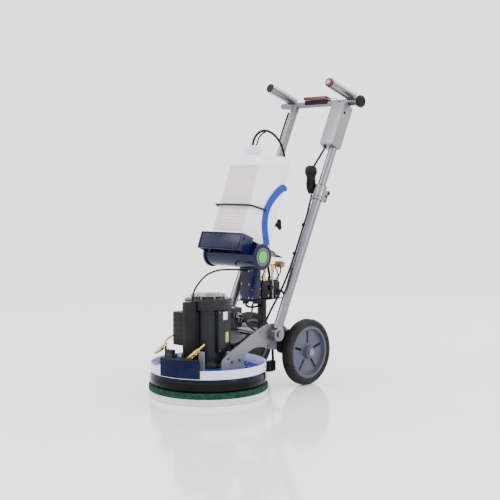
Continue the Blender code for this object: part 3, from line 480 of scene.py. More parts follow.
def deck():
    inner, outer = 0.1993, 0.2105
    low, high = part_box("bumper")[0][2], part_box("bumper")[1][2]
    rim, top = 0.209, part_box("deck")[1][2]
    middle, half, seam = (low + high) / 2, (high - low) / 2, 14

    def bulge(start, end, steps):
        turns = [radians(start + (end - start) * k / steps) for k in range(steps + 1)]
        return [(outer - 0.0095 + 0.01 * cos(t) ** 0.8, middle + half * sin(t)) for t in turns]

    split = middle + half * sin(radians(seam))
    profile = [(inner, low + 0.001), (inner + 0.001, low)] + bulge(-88, seam, 19) + [(inner, split)]
    piece(turned("bumper_skin", profile, 160), "bumper", "bumper", angle=50)
    band = [(inner, split + 0.0002)] + bulge(seam + 1, 82, 14) + [(inner, high)]
    piece(turned("bumper_trim", band, 160), "trim_paint", angle=50)
    wall = [(0.1962, 0.046), (0.1988, 0.046), (0.1988, high + 0.0004), (rim - 0.0008, high + 0.0004),
            (rim, high + 0.0014)]
    wall += arc((rim - 0.0021, top - 0.0021), 0.0021, 0, 180, 8) + [(rim - 0.0042, 0.0985), (0.1962, 0.0985)]
    piece(turned("deck_rim", wall, 160), "rim_paint", "deck", angle=50)
    plate = [(0.052, 0.0981), (0.2046, 0.0981), (0.2046, 0.104), (0.052, 0.104)]
    piece(turned("deck_plate", plate, 120), "deck_blue")
    bm = bmesh.new()
    for k in range(8):
        angle = radians(22.5 + 45 * k)
        add_bolt(bm, (0.15 * cos(angle), 0.15 * sin(angle), 0.104), (0, 0, 1), 0.0055, 0.004)
    for side in (1, -1):
        for y, z, size in ((0.012, 0.127, 0.0062), (0.05, 0.129, 0.005), (0.2, 0.16, 0.0045)):
            add_bolt(bm, (side * 0.109, y, z), (side, 0, 0), size, 0.0035)
    finish("deck_bolts", bm, "steel", angle=25)


def splash_guard():
    start, end = radians(-95.3), radians(-52.7)
    panel = [(0.2097, 0.092), (0.2115, 0.092), (0.2115, 0.154), (0.21, 0.156), (0.1975, 0.1565),
             (0.1975, 0.155), (0.209, 0.154)]
    shell = turned("splash_guard_skin", panel, 40, sweep=(start, end))
    piece(shell, "guard_paint", "splash_guard", angle=40)
    radius, points = 0.2108, []
    for k in range(7):
        points.append((start, 0.0925 + (0.151 - 0.0925) * k / 6))
    points.append((start + 0.012, 0.1545))
    for k in range(13):
        points.append((start + 0.035 + (end - start - 0.07) * k / 12, 0.1558))
    points.append((end - 0.012, 0.1545))
    for k in range(7):
        points.append((end, 0.151 - (0.151 - 0.0925) * k / 6))
    course = [(radius * cos(angle), radius * sin(angle), z) for angle, z in points]
    hose("guard_edging", course, 0.0029, samples=3, sides=12)
    bm = bmesh.new()
    turn = Matrix.Rotation(radians(-57), 4, "Z")
    add_block(bm, (0.196, -0.017, 0.1045), (0.2085, 0.017, 0.15), 0.002, lambda *p: turn @ Vector(p))
    add_block(bm, (0.045, -0.172, 0.1045), (0.056, -0.158, 0.1515), 0.0015)
    add_block(bm, (-0.038, -0.174, 0.16), (-0.004, -0.156, 0.178), 0.003)
    add_block(bm, (-0.016, -0.176, 0.14), (0.004, -0.154, 0.164), 0.003)
    finish("nozzle_bracket", bm, "black_plastic")
    bm = bmesh.new()
    add_block(bm, (0.067, -0.113, 0.1045), (0.092, -0.107, 0.175), 0.0012)
    add_block(bm, (0.067, -0.14, 0.1045), (0.092, -0.107, 0.108), 0.0012)
    finish("guard_bracket", bm, "frame_paint")


def nozzles():
    y = -0.165
    bm = bmesh.new()
    add_rods(bm, ((-0.045, y, 0.1883), (-0.045, y, 0.1915), 0.0068, 6),
             ((-0.045, y, 0.191), (-0.045, y, 0.197), 0.0058),
             ((-0.044, y, 0.1932), (-0.056, y, 0.1932), 0.0044),
             ((-0.0545, y, 0.193), (-0.0645, y, 0.1782), 0.0044),
             ((-0.063, y, 0.1791), (-0.078, y, 0.1703), 0.0085, 6),
             ((-0.0765, y, 0.1712), (-0.09, y, 0.1633), 0.0058),
             ((-0.084, y, 0.1668), (-0.0885, y, 0.1641), 0.0072, 16),
             ((-0.089, y, 0.1639), (-0.102, y, 0.1562), 0.0064, 24, 0.0006, 0.0052))
    finish("nozzle_left_skin", bm, "brass", "nozzle_left", body="left_nozzle")
    bm = bmesh.new()
    add_rods(bm, ((0.0623, y, 0.152), (0.072, y, 0.152), 0.0046),
             ((0.067, y, 0.152), (0.086, y, 0.166), 0.0085, 6),
             ((0.085, y, 0.1653), (0.12, y, 0.1911), 0.006),
             ((0.09, y, 0.169), (0.093, y, 0.1712), 0.0074, 20),
             ((0.1, y, 0.1764), (0.1065, y, 0.1812), 0.0085, 6),
             ((0.112, y, 0.1852), (0.115, y, 0.1874), 0.007, 20),
             ((0.119, y, 0.1904), (0.15, y, 0.2133), 0.004, 20, 0.0005, 0.0028))
    finish("nozzle_right_skin", bm, "brass", "nozzle_right", body="right_nozzle")
    bm = bmesh.new()
    add_rod(bm, (-0.045, y, 0.1968), (-0.045, y, 0.2015), 0.004)
    finish("nozzle_elbow", bm, "copper", body="left_nozzle")
    feed = [(-0.0405, -0.112, 0.228), (-0.044, -0.124, 0.224), (-0.0465, -0.143, 0.216),
            (-0.046, -0.157, 0.21), (-0.045, -0.1645, 0.206), (-0.045, -0.165, 0.2005)]
    hose("nozzle_feed", feed, 0.0026, look="copper", slot="black_rubber")


# ---------------------------------------------------------------- motor
def motor():
    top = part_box("motor_barrel")[1][2]
    radius = 0.071
    profile = [(0.03, 0.1043), (0.0805, 0.1043)] + arc((0.0805, 0.1058), 0.0015, -90, 0, 3)
    profile += arc((0.0805, 0.112), 0.0015, 0, 90, 3) + [(0.074, 0.1145), (radius, 0.119), (radius, 0.13)]
    profile += [(radius - 0.0008, 0.1304), (radius - 0.0008, 0.132), (radius, 0.1324), (radius, top - 0.016)]
    profile += [(radius - 0.0008, top - 0.0156), (radius - 0.0008, top - 0.014), (radius, top - 0.0136)]
    profile += [(radius, top), (0.0622, top), (0.0622, 0.125), (0.03, 0.125)]
    piece(turned("motor_barrel_skin", profile, 96), "motor_paint", "motor_barrel")
    low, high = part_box("fan_cowl")[0][2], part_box("fan_cowl")[1][2]
    outer = 0.085
    profile = [(0.07, low), (outer - 0.002, low)] + arc((outer - 0.0015, low + 0.0015), 0.0015, -90, 0, 3)
    profile += [(outer, low + 0.006), (outer - 0.0009, low + 0.0066), (outer - 0.0009, low + 0.008),
                (outer, low + 0.0086)]
    profile += arc((outer - 0.006, high - 0.006), 0.006, 0, 90, 6) + [(0.079, high), (0.055, high)]
    profile += [(0.055, high - 0.003), (0.07, high - 0.003)]
    cowl = turned("fan_cowl_skin", profile, 96)
    piece(cowl, "motor_paint", "fan_cowl", angle=40)
    bm = bmesh.new()
    for ring in (0.016, 0.026, 0.036, 0.046):
        add_turned(bm, [(ring, high - 0.0022), (ring + 0.0028, high - 0.0022), (ring + 0.0028, high - 0.0002),
                        (ring, high - 0.0002)], 64)
    for k in range(6):
        angle = k * pi / 3 + 0.2
        add_rod(bm, (0.014 * cos(angle), 0.014 * sin(angle), high - 0.0012),
                (0.056 * cos(angle), 0.056 * sin(angle), high - 0.0012), 0.0011, 8, 0.0002)
    finish("cowl_grille", bm, "black_plastic", slot="motor_paint")
    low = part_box("rain_canopy")[1][2] - 0.003
    profile = [(0, low + 0.0006), (0.06, low), (0.066, low), (0.0665, low + 0.0008), (0.066, low + 0.0022)]
    profile += [(0.06, low + 0.003), (0.046, low + 0.0042), (0.03, low + 0.0052), (0.028, low + 0.0062),
                (0.012, low + 0.0066), (0, low + 0.0066)]
    bm = bmesh.new()
    add_turned(bm, profile, 72)
    for k in range(8):
        turn = k * pi / 4
        x, y = 0.0605 * cos(pi / 8 + turn), 0.0605 * sin(pi / 8 + turn)
        add_rod(bm, (x, y, high), (x, y, low + 0.0005), 0.0042, 12, 0.0004)
        add_bolt(bm, (0.052 * cos(turn), 0.052 * sin(turn), low + 0.0036), (0, 0, 1), 0.003, 0.0018)
    finish("rain_canopy_skin", bm, "frame_paint", "rain_canopy")


def motor_boxes():
    bm = bmesh.new()
    for low, high in (((0.0829, -0.0285, 0.164), (0.0842, 0.0285, 0.306)),
                      ((-0.036, 0.1138, 0.24), (0.056, 0.115, 0.304))):
        add_block(bm, low, high, 0.0006)
    add_block(bm, (0.0598, 0.054, 0.24), (0.0612, 0.11, 0.304), 0.0006)
    finish("box_lids", bm, "motor_paint")
    bm = bmesh.new()
    for y in (-0.025, 0.025):
        for z in (0.1675, 0.3025):
            add_bolt(bm, (0.0842, y, z), (1, 0, 0), 0.0018, 0.001)
    add_rods(bm, ((0.0612, 0.075, 0.283), (0.068, 0.075, 0.283), 0.0135, 6, 0.001),
             ((0.068, 0.075, 0.283), (0.08, 0.075, 0.283), 0.0118, 32, 0.001),
             ((0.08, 0.075, 0.283), (0.086, 0.075, 0.283), 0.0122, 6, 0.0016),
             ((0.0612, 0.1, 0.262), (0.066, 0.1, 0.262), 0.0112, 6, 0.001),
             ((0.066, 0.1, 0.262), (0.0778, 0.1, 0.262), 0.0096, 32, 0.001))
    finish("gland_nuts", bm, "steel", angle=25)
    for look, low, high in (("white_label", (0.0842, -0.008, 0.276), (0.0846, 0.013, 0.304)),
                            ("yellow_label", (0.0842, 0.004, 0.195), (0.0846, 0.018, 0.231))):
        bm = bmesh.new()
        add_block(bm, low, high, 0.0001, segments=1)
        finish(look + "_plate", bm, look)
    bm = bmesh.new()
    for z in (0.206, 0.2235, 0.241, 0.2585, 0.276):
        add_block(bm, (-0.0385, -0.1378, z), (0.0105, -0.136, z + 0.0035), 0.0008)
        add_block(bm, (-0.0424, -0.134, z), (-0.0405, -0.077, z + 0.0035), 0.0008)
    finish("front_box_ribs", bm, "black_plastic")
    tail = [(0.086, 0.075, 0.283), (0.093, 0.077, 0.2825), (0.0965, 0.088, 0.276), (0.094, 0.11, 0.27),
            (0.08, 0.14, 0.28), (0.056, 0.172, 0.298), (0.035, 0.196, 0.308), (0.024, 0.215, 0.316)]
    hose("pump_lead", tail, 0.0036)


def spray_hoses():
    points = [(0.021, -0.098, 0.345), (0.021, -0.094, 0.367), (0.021, -0.084, 0.388), (0.02, -0.066, 0.406),
              (0.018, -0.04, 0.424), (0.014, -0.01, 0.436), (0.008, 0.045, 0.4445), (0.003, 0.11, 0.4425),
              (0.0, 0.16, 0.4385), (0.0, 0.194, 0.435)]
    hose("spray_hose_skin", points, 0.0034, "spray_hose")
    points = [(0.0, 0.2, 0.318), (0.0, 0.196, 0.306), (0.0, 0.212, 0.296), (0.0, 0.245, 0.2925),
              (0.0, 0.278, 0.298), (0.0, 0.296, 0.31), (0.0, 0.3, 0.318)]
    hose("pump_loop", points, 0.0042)


# ---------------------------------------------------------------- wheels
def wheels():
    x0, x1 = 0.129, 0.172
    middle = (x0 + x1) / 2
    tyre = [(0.098, x0 + 0.0035), (0.1005, x0 + 0.0016), (0.104, x0 + 0.0004), (0.109, x0),
            (0.114, x0 + 0.0008), (0.1185, x0 + 0.0032), (0.1218, x0 + 0.0068), (0.1232, x0 + 0.01)]
    for k in range(4):
        x = x0 + 0.0112 + k * 0.0052
        tyre += [(WHEEL_R - 0.0012, x - 0.0005), (WHEEL_R, x + 0.0003), (WHEEL_R, x + 0.0038),
                 (WHEEL_R - 0.0012, x + 0.0044)]
    mirrored = [(r, 2 * middle - x) for r, x in tyre[:8]][::-1]
    web_low, web_high, turn_slots = 0.1465, 0.155, [radians(90 + 72 * k) for k in range(5)]
    for name, side in SIDES:
        origin, out = (0, AXLE.y, AXLE.z), (side, 0, 0)
        wheel = f"{name}_wheel"
        skin_of = turned(f"tyre_{name}_skin", tyre + mirrored, 144, origin, out)
        piece(skin_of, "tyre", f"tyre_{name}", body=wheel, angle=50)
        bm = bmesh.new()
        rim = [(0.0978, 0.1335), (0.0978, 0.168), (0.096, 0.1688), (0.0905, 0.1688), (0.0885, 0.1675),
               (0.0866, 0.16), (0.0855, web_high), (0.0795, web_high), (0.0795, web_low), (0.0855, web_low),
               (0.0866, 0.142), (0.0885, 0.1345), (0.0905, 0.1335)]
        add_turned(bm, rim, 120, origin, out)
        boss = [(0.0108, 0.13), (0.022, 0.13), (0.0245, 0.133), (0.0265, web_low), (0.0345, web_low),
                (0.0345, web_high), (0.0268, web_high + 0.001), (0.024, 0.166), (0.0225, 0.1725),
                (0.0108, 0.173)]
        add_turned(bm, boss, 72, origin, out)
        for start in turn_slots:
            outline, steps = [], 10
            for radius, forward in ((0.0344, True), (0.08, False)):
                low, high = start + 0.004 / radius, start + radians(72) - 0.004 / radius
                sweep = [low + (high - low) * k / steps for k in range(steps + 1)]
                outline += [(radius, angle) for angle in (sweep if forward else sweep[::-1])]
            rings = [[Vector((side * x, AXLE.y + r * cos(a), AXLE.z + r * sin(a))) for r, a in outline]
                     for x in (web_low, web_high)]
            skin(bm, rings)
            for offset in (0.0052, -0.0052):
                direction = Vector((0, cos(start), sin(start)))
                across = Vector((0, -sin(start), cos(start))) * offset
                low_end = Vector(origin) + direction * 0.03 + across + Vector((side * web_high, 0, 0))
                high_end = Vector(origin) + direction * 0.083 + across + Vector((side * web_high, 0, 0))
                add_rod(bm, low_end, high_end, 0.0014, 8, 0.0004)
        hub = from_bmesh(f"hub_{name}_skin", bm)
        piece(hub, "hub_plastic", f"hub_{name}", body=wheel, angle=30)
        # black disc just behind the hub web: painted shade, so the gaps between the spokes read dark
        bm = bmesh.new()
        add_turned(bm, [(0.027, 0.1405), (0.084, 0.1405), (0.084, 0.143), (0.027, 0.143)], 72, origin, out)
        finish(f"hub_shade_backing_{name}", bm, "black_plastic", body=wheel, slot="hub_plastic")
        bm = bmesh.new()
        add_rod(bm, (side * 0.1737, AXLE.y, AXLE.z), (side * 0.1783, AXLE.y, AXLE.z), 0.0152, 32, 0.0015)
        add_rod(bm, (side * 0.1782, AXLE.y, AXLE.z), (side * 0.18, AXLE.y, AXLE.z), 0.0085, 32, 0.001)
        finish(f"axle_cap_{name}", bm, "frame_paint", slot="dark_frame")


pads()
deck()
splash_guard()
nozzles()
motor()
motor_boxes()
spray_hoses()
wheels()

# ---------------------------------------------------------------- handle
def tube_shell(name, radius, bore, low, high, x, body, *stands_for):
    edge = 0.0005
    profile = [(bore, low), (radius - edge, low), (radius, low + edge), (radius, high - edge),
               (radius - edge, high), (bore, high)]
    shell = turned(name, profile, 56, on_tube(0, x), TUBE_UP)
    return piece(shell, "tube_metal", *stands_for, body=body, angle=40)


def lower_handle():
    radius, bore = 0.0178, 0.0163
    for name, side in SIDES:
        x = side * TUBE_X
        tube_shell(f"lower_tube_{name}_skin", radius, bore, 0.004, 0.585, x, "handle", f"lower_tube_{name}")
        bm = bmesh.new()
        pivot = Vector((side * 0.1147, PIVOT.y, PIVOT.z))
        add_rod(bm, pivot, pivot + Vector((side * 0.0368, 0, 0)), 0.026, 64, 0.0022)
        finish(f"tube_boss_{name}", bm, "tube_metal", body="handle", angle=40)
        bm = bmesh.new()
        low, high = 0.54, 0.6
        add_turned(bm, [(0.0181, low), (0.0215, low), (0.0225, low + 0.001), (0.0225, high - 0.001),
                        (0.0215, high), (0.0164, high), (0.0164, 0.5856), (0.0181, 0.5856)], 56,
                   on_tube(0, x), TUBE_UP)
        for start, end in ((0.553, 0.57), (0.576, 0.593)):
            add_block(bm, (x - 0.008, 0.0205, start), (x + 0.008, 0.0372, end), 0.0015, on_handle)
        add_rod(bm, on_tube(0.556, x, 0.0315), on_tube(0.59, x, 0.0315), 0.003, 16)
        add_bolt(bm, on_tube(0.592, x - side * 0.0045, 0.028), TUBE_UP, 0.0035, 0.0028)
        finish(f"collar_{name}_skin", bm, "steel", f"collar_{name}", body="handle", angle=30)
        bm = bmesh.new()
        for low, high in ((0.5515, 0.553), (0.5985, 0.6003)):
            add_turned(bm, [(0.017, low), (0.0229, low), (0.0229, high), (0.017, high)], 56,
                       on_tube(0, x), TUBE_UP)
        finish(f"collar_rings_{name}", bm, "black_plastic", body="handle")
    bm = bmesh.new()
    add_block(bm, (0.103, -0.012, 0.429), (0.115, 0.01, 0.441), 0.0015, on_handle)
    add_block(bm, (0.103, -0.012, 0.311), (0.115, 0.01, 0.323), 0.0015, on_handle)
    finish("cable_clips", bm, "black_plastic", body="handle")


def grips():
    middle, radius = {}, 0.0185
    for name in ("left", "right"):
        low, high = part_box(f"grip_{name}")
        x = (low[0] + high[0]) / 2
        rear, front = Vector((x, 0.655, 1.0925)), Vector((x, 0.505, 1.14))
        out = (front - rear).normalized()
        length = (front - rear).length
        profile = [(0, 0)] + arc((radius - 0.003, 0.003), 0.003, -90, 0, 5) + [(radius, length - 0.0006)]
        profile += [(radius - 0.0006, length), (radius - 0.0026, length), (radius - 0.0026, length - 0.02),
                    (0, length - 0.02)]
        grip = turned(f"grip_{name}_skin", profile, 56, rear, out)
        piece(grip, "tube_metal", f"grip_{name}", body="upper_handle", angle=40)
        middle[name] = (front, out)
    front, out = middle["left"]
    profile = [(0, -0.012), (0.012, -0.012), (0.012, 0.003), (0.0168, 0.003), (0.0174, 0.0042),
               (0.0172, 0.008), (0.015, 0.0108), (0.011, 0.0118), (0, 0.012)]
    button = turned("stop_button_skin", profile, 64, front, out)
    piece(button, "red_plastic", "stop_button", body="button", angle=40)
    # pale disc on the stop button's face: a painted highlight
    bm = bmesh.new()
    add_rod(bm, front + out * 0.0116, front + out * 0.0126, 0.0088, 40, 0.0004)
    finish("stop_button_highlight_disc", bm, "button_highlight_paint", body="button")
    front, out = middle["right"]
    bm = bmesh.new()
    add_rod(bm, front - out * 0.012, front + out * 0.0015, 0.015, 48, 0.0015)
    add_rod(bm, front - out * 0.001, front + out * 0.0022, 0.0176, 48, 0.0012)
    finish("grip_end_cap", bm, "rubber", body="upper_handle")


def upper_handle():
    low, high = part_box("crossbar")
    radius, bore, foot, top = 0.0158, 0.0138, 0.35, 0.957
    for name, side in SIDES:
        x = side * TUBE_X
        tube_shell(f"upper_tube_{name}_skin", radius, bore, foot, top, x, "upper_handle",
                   f"upper_tube_{name}")
    bm = bmesh.new()
    add_rod(bm, (low[0], BAR.y, BAR.z), (high[0], BAR.y, BAR.z), 0.0125, 48, 0.0008)
    finish("crossbar_skin", bm, "frame_paint", "crossbar", body="upper_handle", slot="dark_frame")
    bm = bmesh.new()
    add_rods(bm, ((0.125, BAR.y, BAR.z), (0.1872, BAR.y, BAR.z), 0.0148, 48, 0.001),
             ((0.179, BAR.y, BAR.z), (0.1876, BAR.y, BAR.z), 0.0185, 48, 0.0014),
             ((-0.18, BAR.y, BAR.z), (-0.124, BAR.y, BAR.z), 0.0146, 48, 0.001))
    for side in (1, -1):
        add_turned(bm, [(0.015, 0.935), (0.0176, 0.936), (0.0176, 0.95), (0.015, 0.951)], 48,
                   on_tube(0, side * TUBE_X), TUBE_UP)
    finish("bar_sleeves", bm, "tube_metal", body="upper_handle")
    profile = [(0, 0.1882), (0.014, 0.1882), (0.022, 0.1905), (0.0236, 0.1935), (0.0238, 0.199),
               (0.0228, 0.2035), (0.02, 0.206), (0.0178, 0.206), (0.0172, 0.2046), (0.0142, 0.2046),
               (0.0136, 0.2058), (0.0104, 0.2058), (0.0098, 0.2044), (0.006, 0.2044), (0.0052, 0.2056),
               (0, 0.2056)]
    bm = bmesh.new()
    add_turned(bm, profile, 72, (0, BAR.y, BAR.z), (1, 0, 0))
    for k in range(18):
        angle = 2 * pi * k / 18
        y, z = BAR.y + 0.0232 * cos(angle), BAR.z + 0.0232 * sin(angle)
        add_rod(bm, (0.1925, y, z), (0.2015, y, z), 0.0014, 8, 0.0005)
    finish("crossbar_knob_skin", bm, "black_plastic", "crossbar_knob", body="bar_knob")
    bm = bmesh.new()
    for s in (0.775, 0.932):
        for back in (-0.03, 0.0125):
            add_bolt(bm, on_tube(s, 0.155, back), (1, 0, 0), 0.0022, 0.0012)
    finish("switch_box_screws", bm, "steel", body="upper_handle")
    bm = bmesh.new()
    add_rods(bm, (on_tube(0.905, 0.1548, -0.0215), on_tube(0.905, 0.1575, -0.0215), 0.005, 24, 0.0008),
             (on_tube(0.768, 0.105, -0.018), on_tube(0.753, 0.105, -0.018), 0.0072, 12, 0.001),
             (on_tube(0.77, 0.105, -0.018), on_tube(0.761, 0.105, -0.018), 0.0085, 6, 0.001))
    finish("switch_box_fittings", bm, "black_plastic", body="upper_handle")
    bm = bmesh.new()
    add_block(bm, (0.0905, -0.0372, 0.768), (0.1535, -0.0358, 0.94), 0.0006, on_handle)
    finish("switch_box_lid", bm, "box_metal", body="upper_handle")
    top = BAR.z + 0.0125
    wire = [(0.043, BAR.y - 0.004, top + 0.0015), (0.056, BAR.y - 0.006, top + 0.006),
            (0.078, BAR.y - 0.009, top + 0.005), (0.093, BAR.y - 0.012, top + 0.001),
            (0.103, BAR.y - 0.016, top - 0.008), (0.106, BAR.y - 0.02, top - 0.022)]
    hose("switch_wire", wire, 0.0016, body="upper_handle", look="frame_paint", slot="tube_metal")
    hinge = Vector(JOINT["deadman_press"]["pos_m"])
    hinge.x = 0
    tilt = Matrix.Translation(hinge) @ Matrix.Rotation(radians(-10), 4, "X")
    bm = bmesh.new()
    add_block(bm, (-0.072, -0.036, -0.0018), (0.04, 0.002, 0.0024), 0.0012, lambda *p: tilt @ Vector(p))
    add_block(bm, (-0.072, -0.037, -0.011), (0.04, -0.0325, 0.0022), 0.0014, lambda *p: tilt @ Vector(p))
    finish("deadman_skin", bm, "red_plastic", "deadman_lever", body="deadman")
    hose("stay_rod",
          [on_tube(0.8, -0.1475, -0.0135), on_tube(0.862, -0.148, -0.014), on_tube(0.925, -0.1475, -0.0135)],
          0.004, body="upper_handle", slot="tube_metal")


def plug_and_cables():
    head, foot = on_tube(0.648, 0.088, -0.034), on_tube(0.57, 0.088, 0.005)
    down = foot - head
    size = down.length
    body = [(0, -0.0222), (0.0085, -0.0222), (0.0125, -0.0212), (0.0185, -0.0172), (0.0225, -0.01),
            (0.0236, -0.003), (0.0236, 0.004), (0.0222, 0.01), (0.019, 0.018), (0.017, 0.024)]
    for k in range(5):
        swell = 0.0168 + (0.001, 0.002, 0.0028, 0.0028, 0.0016)[k]
        neck, rise = swell - 0.0014, 0.009 * k
        body += [(swell, 0.026 + rise), (swell, 0.031 + rise), (neck, 0.0318 + rise), (neck, 0.0342 + rise)]
    body += [(0.016, 0.072), (0.012, size - 0.004), (0.0108, size - 0.0004), (0, size - 0.0004)]
    plug = turned("cable_plug_skin", body, 48, head, down)
    piece(plug, "rubber", "cable_plug", body="upper_handle", angle=40)
    bm = bmesh.new()
    ring = [(0.0226, -0.001), (0.0243, -0.0007), (0.0243, 0.0007), (0.0226, 0.001)]
    for k in range(3):
        middle = head + down.normalized() * (0.002 + 0.004 * k)
        add_turned(bm, ring, 40, middle, down)
    finish("plug_rings", bm, "black_plastic", body="upper_handle", slot="black_rubber")
    start = on_tube(0.7492, 0.105, -0.018)
    end = head + (start - head).normalized() * 0.0228
    hose("upper_cable_skin", [start, start.lerp(end, 0.33), start.lerp(end, 0.67), end], 0.0042,
          "upper_cable", body="upper_handle")
    low = foot + down.normalized() * 0.0009
    dropping = [low, low + down.normalized() * 0.014, on_tube(0.525, 0.097, 0.004), on_tube(0.48, 0.104),
                on_tube(0.43, 0.104), on_tube(0.375, 0.104), on_tube(0.318, 0.104)]
    hose("handle_cable", dropping, 0.004, body="upper_handle")
    course = [on_tube(0.447, 0.104), on_tube(0.43, 0.104), on_tube(0.4, 0.104), on_tube(0.32, 0.104),
              on_tube(0.25, 0.103, -0.001), on_tube(0.19, 0.101, -0.006), on_tube(0.13, 0.097, -0.014),
              (0.094, 0.228, 0.285), (0.092, 0.205, 0.25), (0.091, 0.182, 0.228), (0.092, 0.16, 0.222),
              (0.093, 0.138, 0.228), (0.094, 0.118, 0.242), (0.091, 0.104, 0.256), (0.084, 0.1003, 0.2612),
              (0.0775, 0.1, 0.262)]
    cable = hose("lower_cable_skin", course, 0.0042, body=None)
    cable.data.materials.append(LOOK["rubber"])
    cable.data.shade_smooth()
    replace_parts(cable, "lower_cable")
    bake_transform(cable)


lower_handle()
grips()
upper_handle()
plug_and_cables()

# ---------------------------------------------------------------- tank and its cradle
def tank_ring(hx, hn, radius, a, rise=0.0, off=0.0, relief=None, steps=6):
    """Rounded rectangle about the tank's axis with points along its straight sides too."""
    points = []
    for quadrant in range(4):
        hu, hv = (hx, hn) if quadrant % 2 == 0 else (hn, hx)
        local = [(hu, (hv - radius) * k / steps) for k in range(steps)]
        turns = [pi / 2 * k / steps for k in range(steps)]
        local += [(hu - radius + radius * cos(turn), hv - radius + radius * sin(turn)) for turn in turns]
        local += [((hu - radius) * (1 - k / steps), hv) for k in range(steps)]
        for u, v in local:
            x, n = ((u, v), (-v, u), (-u, -v), (v, -u))[quadrant]
            n += off + (relief(x, a) if relief and n > hn - 0.001 else 0.0)
            points.append(on_tank(x, n, a - rise * n))
    return points


def neck_ring(radius, z, count=72):
    turns = [2 * pi * k / count for k in range(count)]
    return [Vector((NECK_X + radius * cos(turn), NECK_Y - radius * sin(turn), z)) for turn in turns]


def front_relief(x, a):
    """Moulded ribs low on the tank's front, and a shallow recessed panel above them."""
    across = min(1.0, max(0.0, (0.066 - abs(x)) / 0.006))
    ribs = 0.0011 * cos(2 * pi * a / 0.0125) * min(1.0, max(0.0, (0.124 - a) / 0.008))
    panel = -0.003 * min(1.0, max(0.0, (a - 0.14) / 0.008)) * min(1.0, max(0.0, (0.258 - a) / 0.01))
    return across * (ribs + panel)


def tank():
    hx, hn, foot, top = 0.087, 0.081, -0.0175, NECK_Z
    rings = [tank_ring(hx - 0.008, hn - 0.008, 0.018, foot),
             tank_ring(hx - 0.003, hn - 0.003, 0.022, foot + 0.002), tank_ring(hx, hn, 0.024, foot + 0.007)]
    for k in range(100):
        rings.append(tank_ring(hx, hn, 0.024, foot + 0.0105 + (0.262 - foot - 0.0105) * k / 99,
                               relief=front_relief))
    keys = [rings[-1], tank_ring(hx, hn, 0.024, 0.287, 0.3),
            tank_ring(hx - 0.005, hn - 0.004, 0.024, 0.309, 0.42),
            tank_ring(hx - 0.018, hn - 0.016, 0.026, 0.3215, 0.46, 0.002)]
    neck = [neck_ring(0.03, top - 0.004), neck_ring(0.0265, top - 0.001)]
    count = len(keys[0])
    for low, high in zip(keys, keys[1:]):
        for step in range(1, 5):
            t = step / 4
            rings.append([low[i].lerp(high[i], t) for i in range(count)])
    last = keys[-1]
    for t, sag in ((0.3, 0.001), (0.6, 0.0015), (0.85, 0.001)):
        rings.append([last[i].lerp(neck[0][i], t) + Vector((0, 0, sag)) for i in range(count)])
    rings += neck + [neck_ring(0.026, top + 0.022), neck_ring(0.01, top + 0.022)]
    bm = bmesh.new()
    skin(bm, rings)
    shell = finish("tank_skin", bm, "tank_plastic", "tank", angle=50)
    # the front centre of the tank gets the darker second material: painted shade of that face
    shell.data.materials.append(LOOK["front_shade_plastic"])
    front = on_tank(0, hn - 0.0045, 0) - on_tank(0, 0, 0)
    for face in shell.data.polygons:
        offset = face.center - TANK_BASE
        forward = -offset.y * cos(TANK_LEAN) + offset.z * sin(TANK_LEAN)
        height = offset.y * sin(TANK_LEAN) + offset.z * cos(TANK_LEAN)
        if forward > front.length and abs(face.center.x) < 0.074 and 0.004 < height < 0.262:
            face.material_index = 1
    base, crown = (corner[2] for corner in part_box("tank_cap"))
    bm = bmesh.new()
    profile = [(0.0266, base), (0.03, base), (0.0306, base + 0.001), (0.0306, crown - 0.003),
               (0.029, crown - 0.0006), (0.027, crown), (0.014, crown), (0.013, crown - 0.0014),
               (0.01, crown - 0.0014), (0.01, crown - 0.008), (0.0266, crown - 0.008)]
    add_turned(bm, profile, 96, (NECK_X, NECK_Y, 0))
    for k in range(36):
        angle = 2 * pi * k / 36
        x, y = NECK_X + 0.0304 * cos(angle), NECK_Y + 0.0304 * sin(angle)
        add_rod(bm, (x, y, base + 0.001), (x, y, crown - 0.0038), 0.0011, 8, 0.0004)
    finish("tank_cap_skin", bm, "tank_plastic", "tank_cap", body="cap", angle=40)
    bm = bmesh.new()
    add_rod(bm, (NECK_X, NECK_Y, crown - 0.009), (NECK_X, NECK_Y, crown + 0.003), 0.0096, 32, 0.0012)
    finish("cap_grommet", bm, "rubber")


def cradle_trim():
    bm = bmesh.new()
    front = 0.103
    for low, high in (((-0.101, front, -0.069), (0.101, front + 0.0014, -0.0665)),
                      ((-0.101, front, -0.0145), (0.101, front + 0.0014, -0.012)),
                      ((-0.101, front, -0.069), (-0.0985, front + 0.0014, -0.012)),
                      ((0.0985, front, -0.069), (0.101, front + 0.0014, -0.012))):
        add_block(bm, low, high, 0.0005, on_tank, 1)
    finish("apron_border", bm, "guard_paint")
    bm = bmesh.new()
    for side in (1, -1):
        for n, a in ((0.058, -0.02), (0.09, -0.02)):
            at = on_tank(side * 0.1066, n, a - 0.006)
            add_bolt(bm, at, (side, 0, 0), 0.003, 0.002)
    finish("cradle_bolts", bm, "dark_frame")


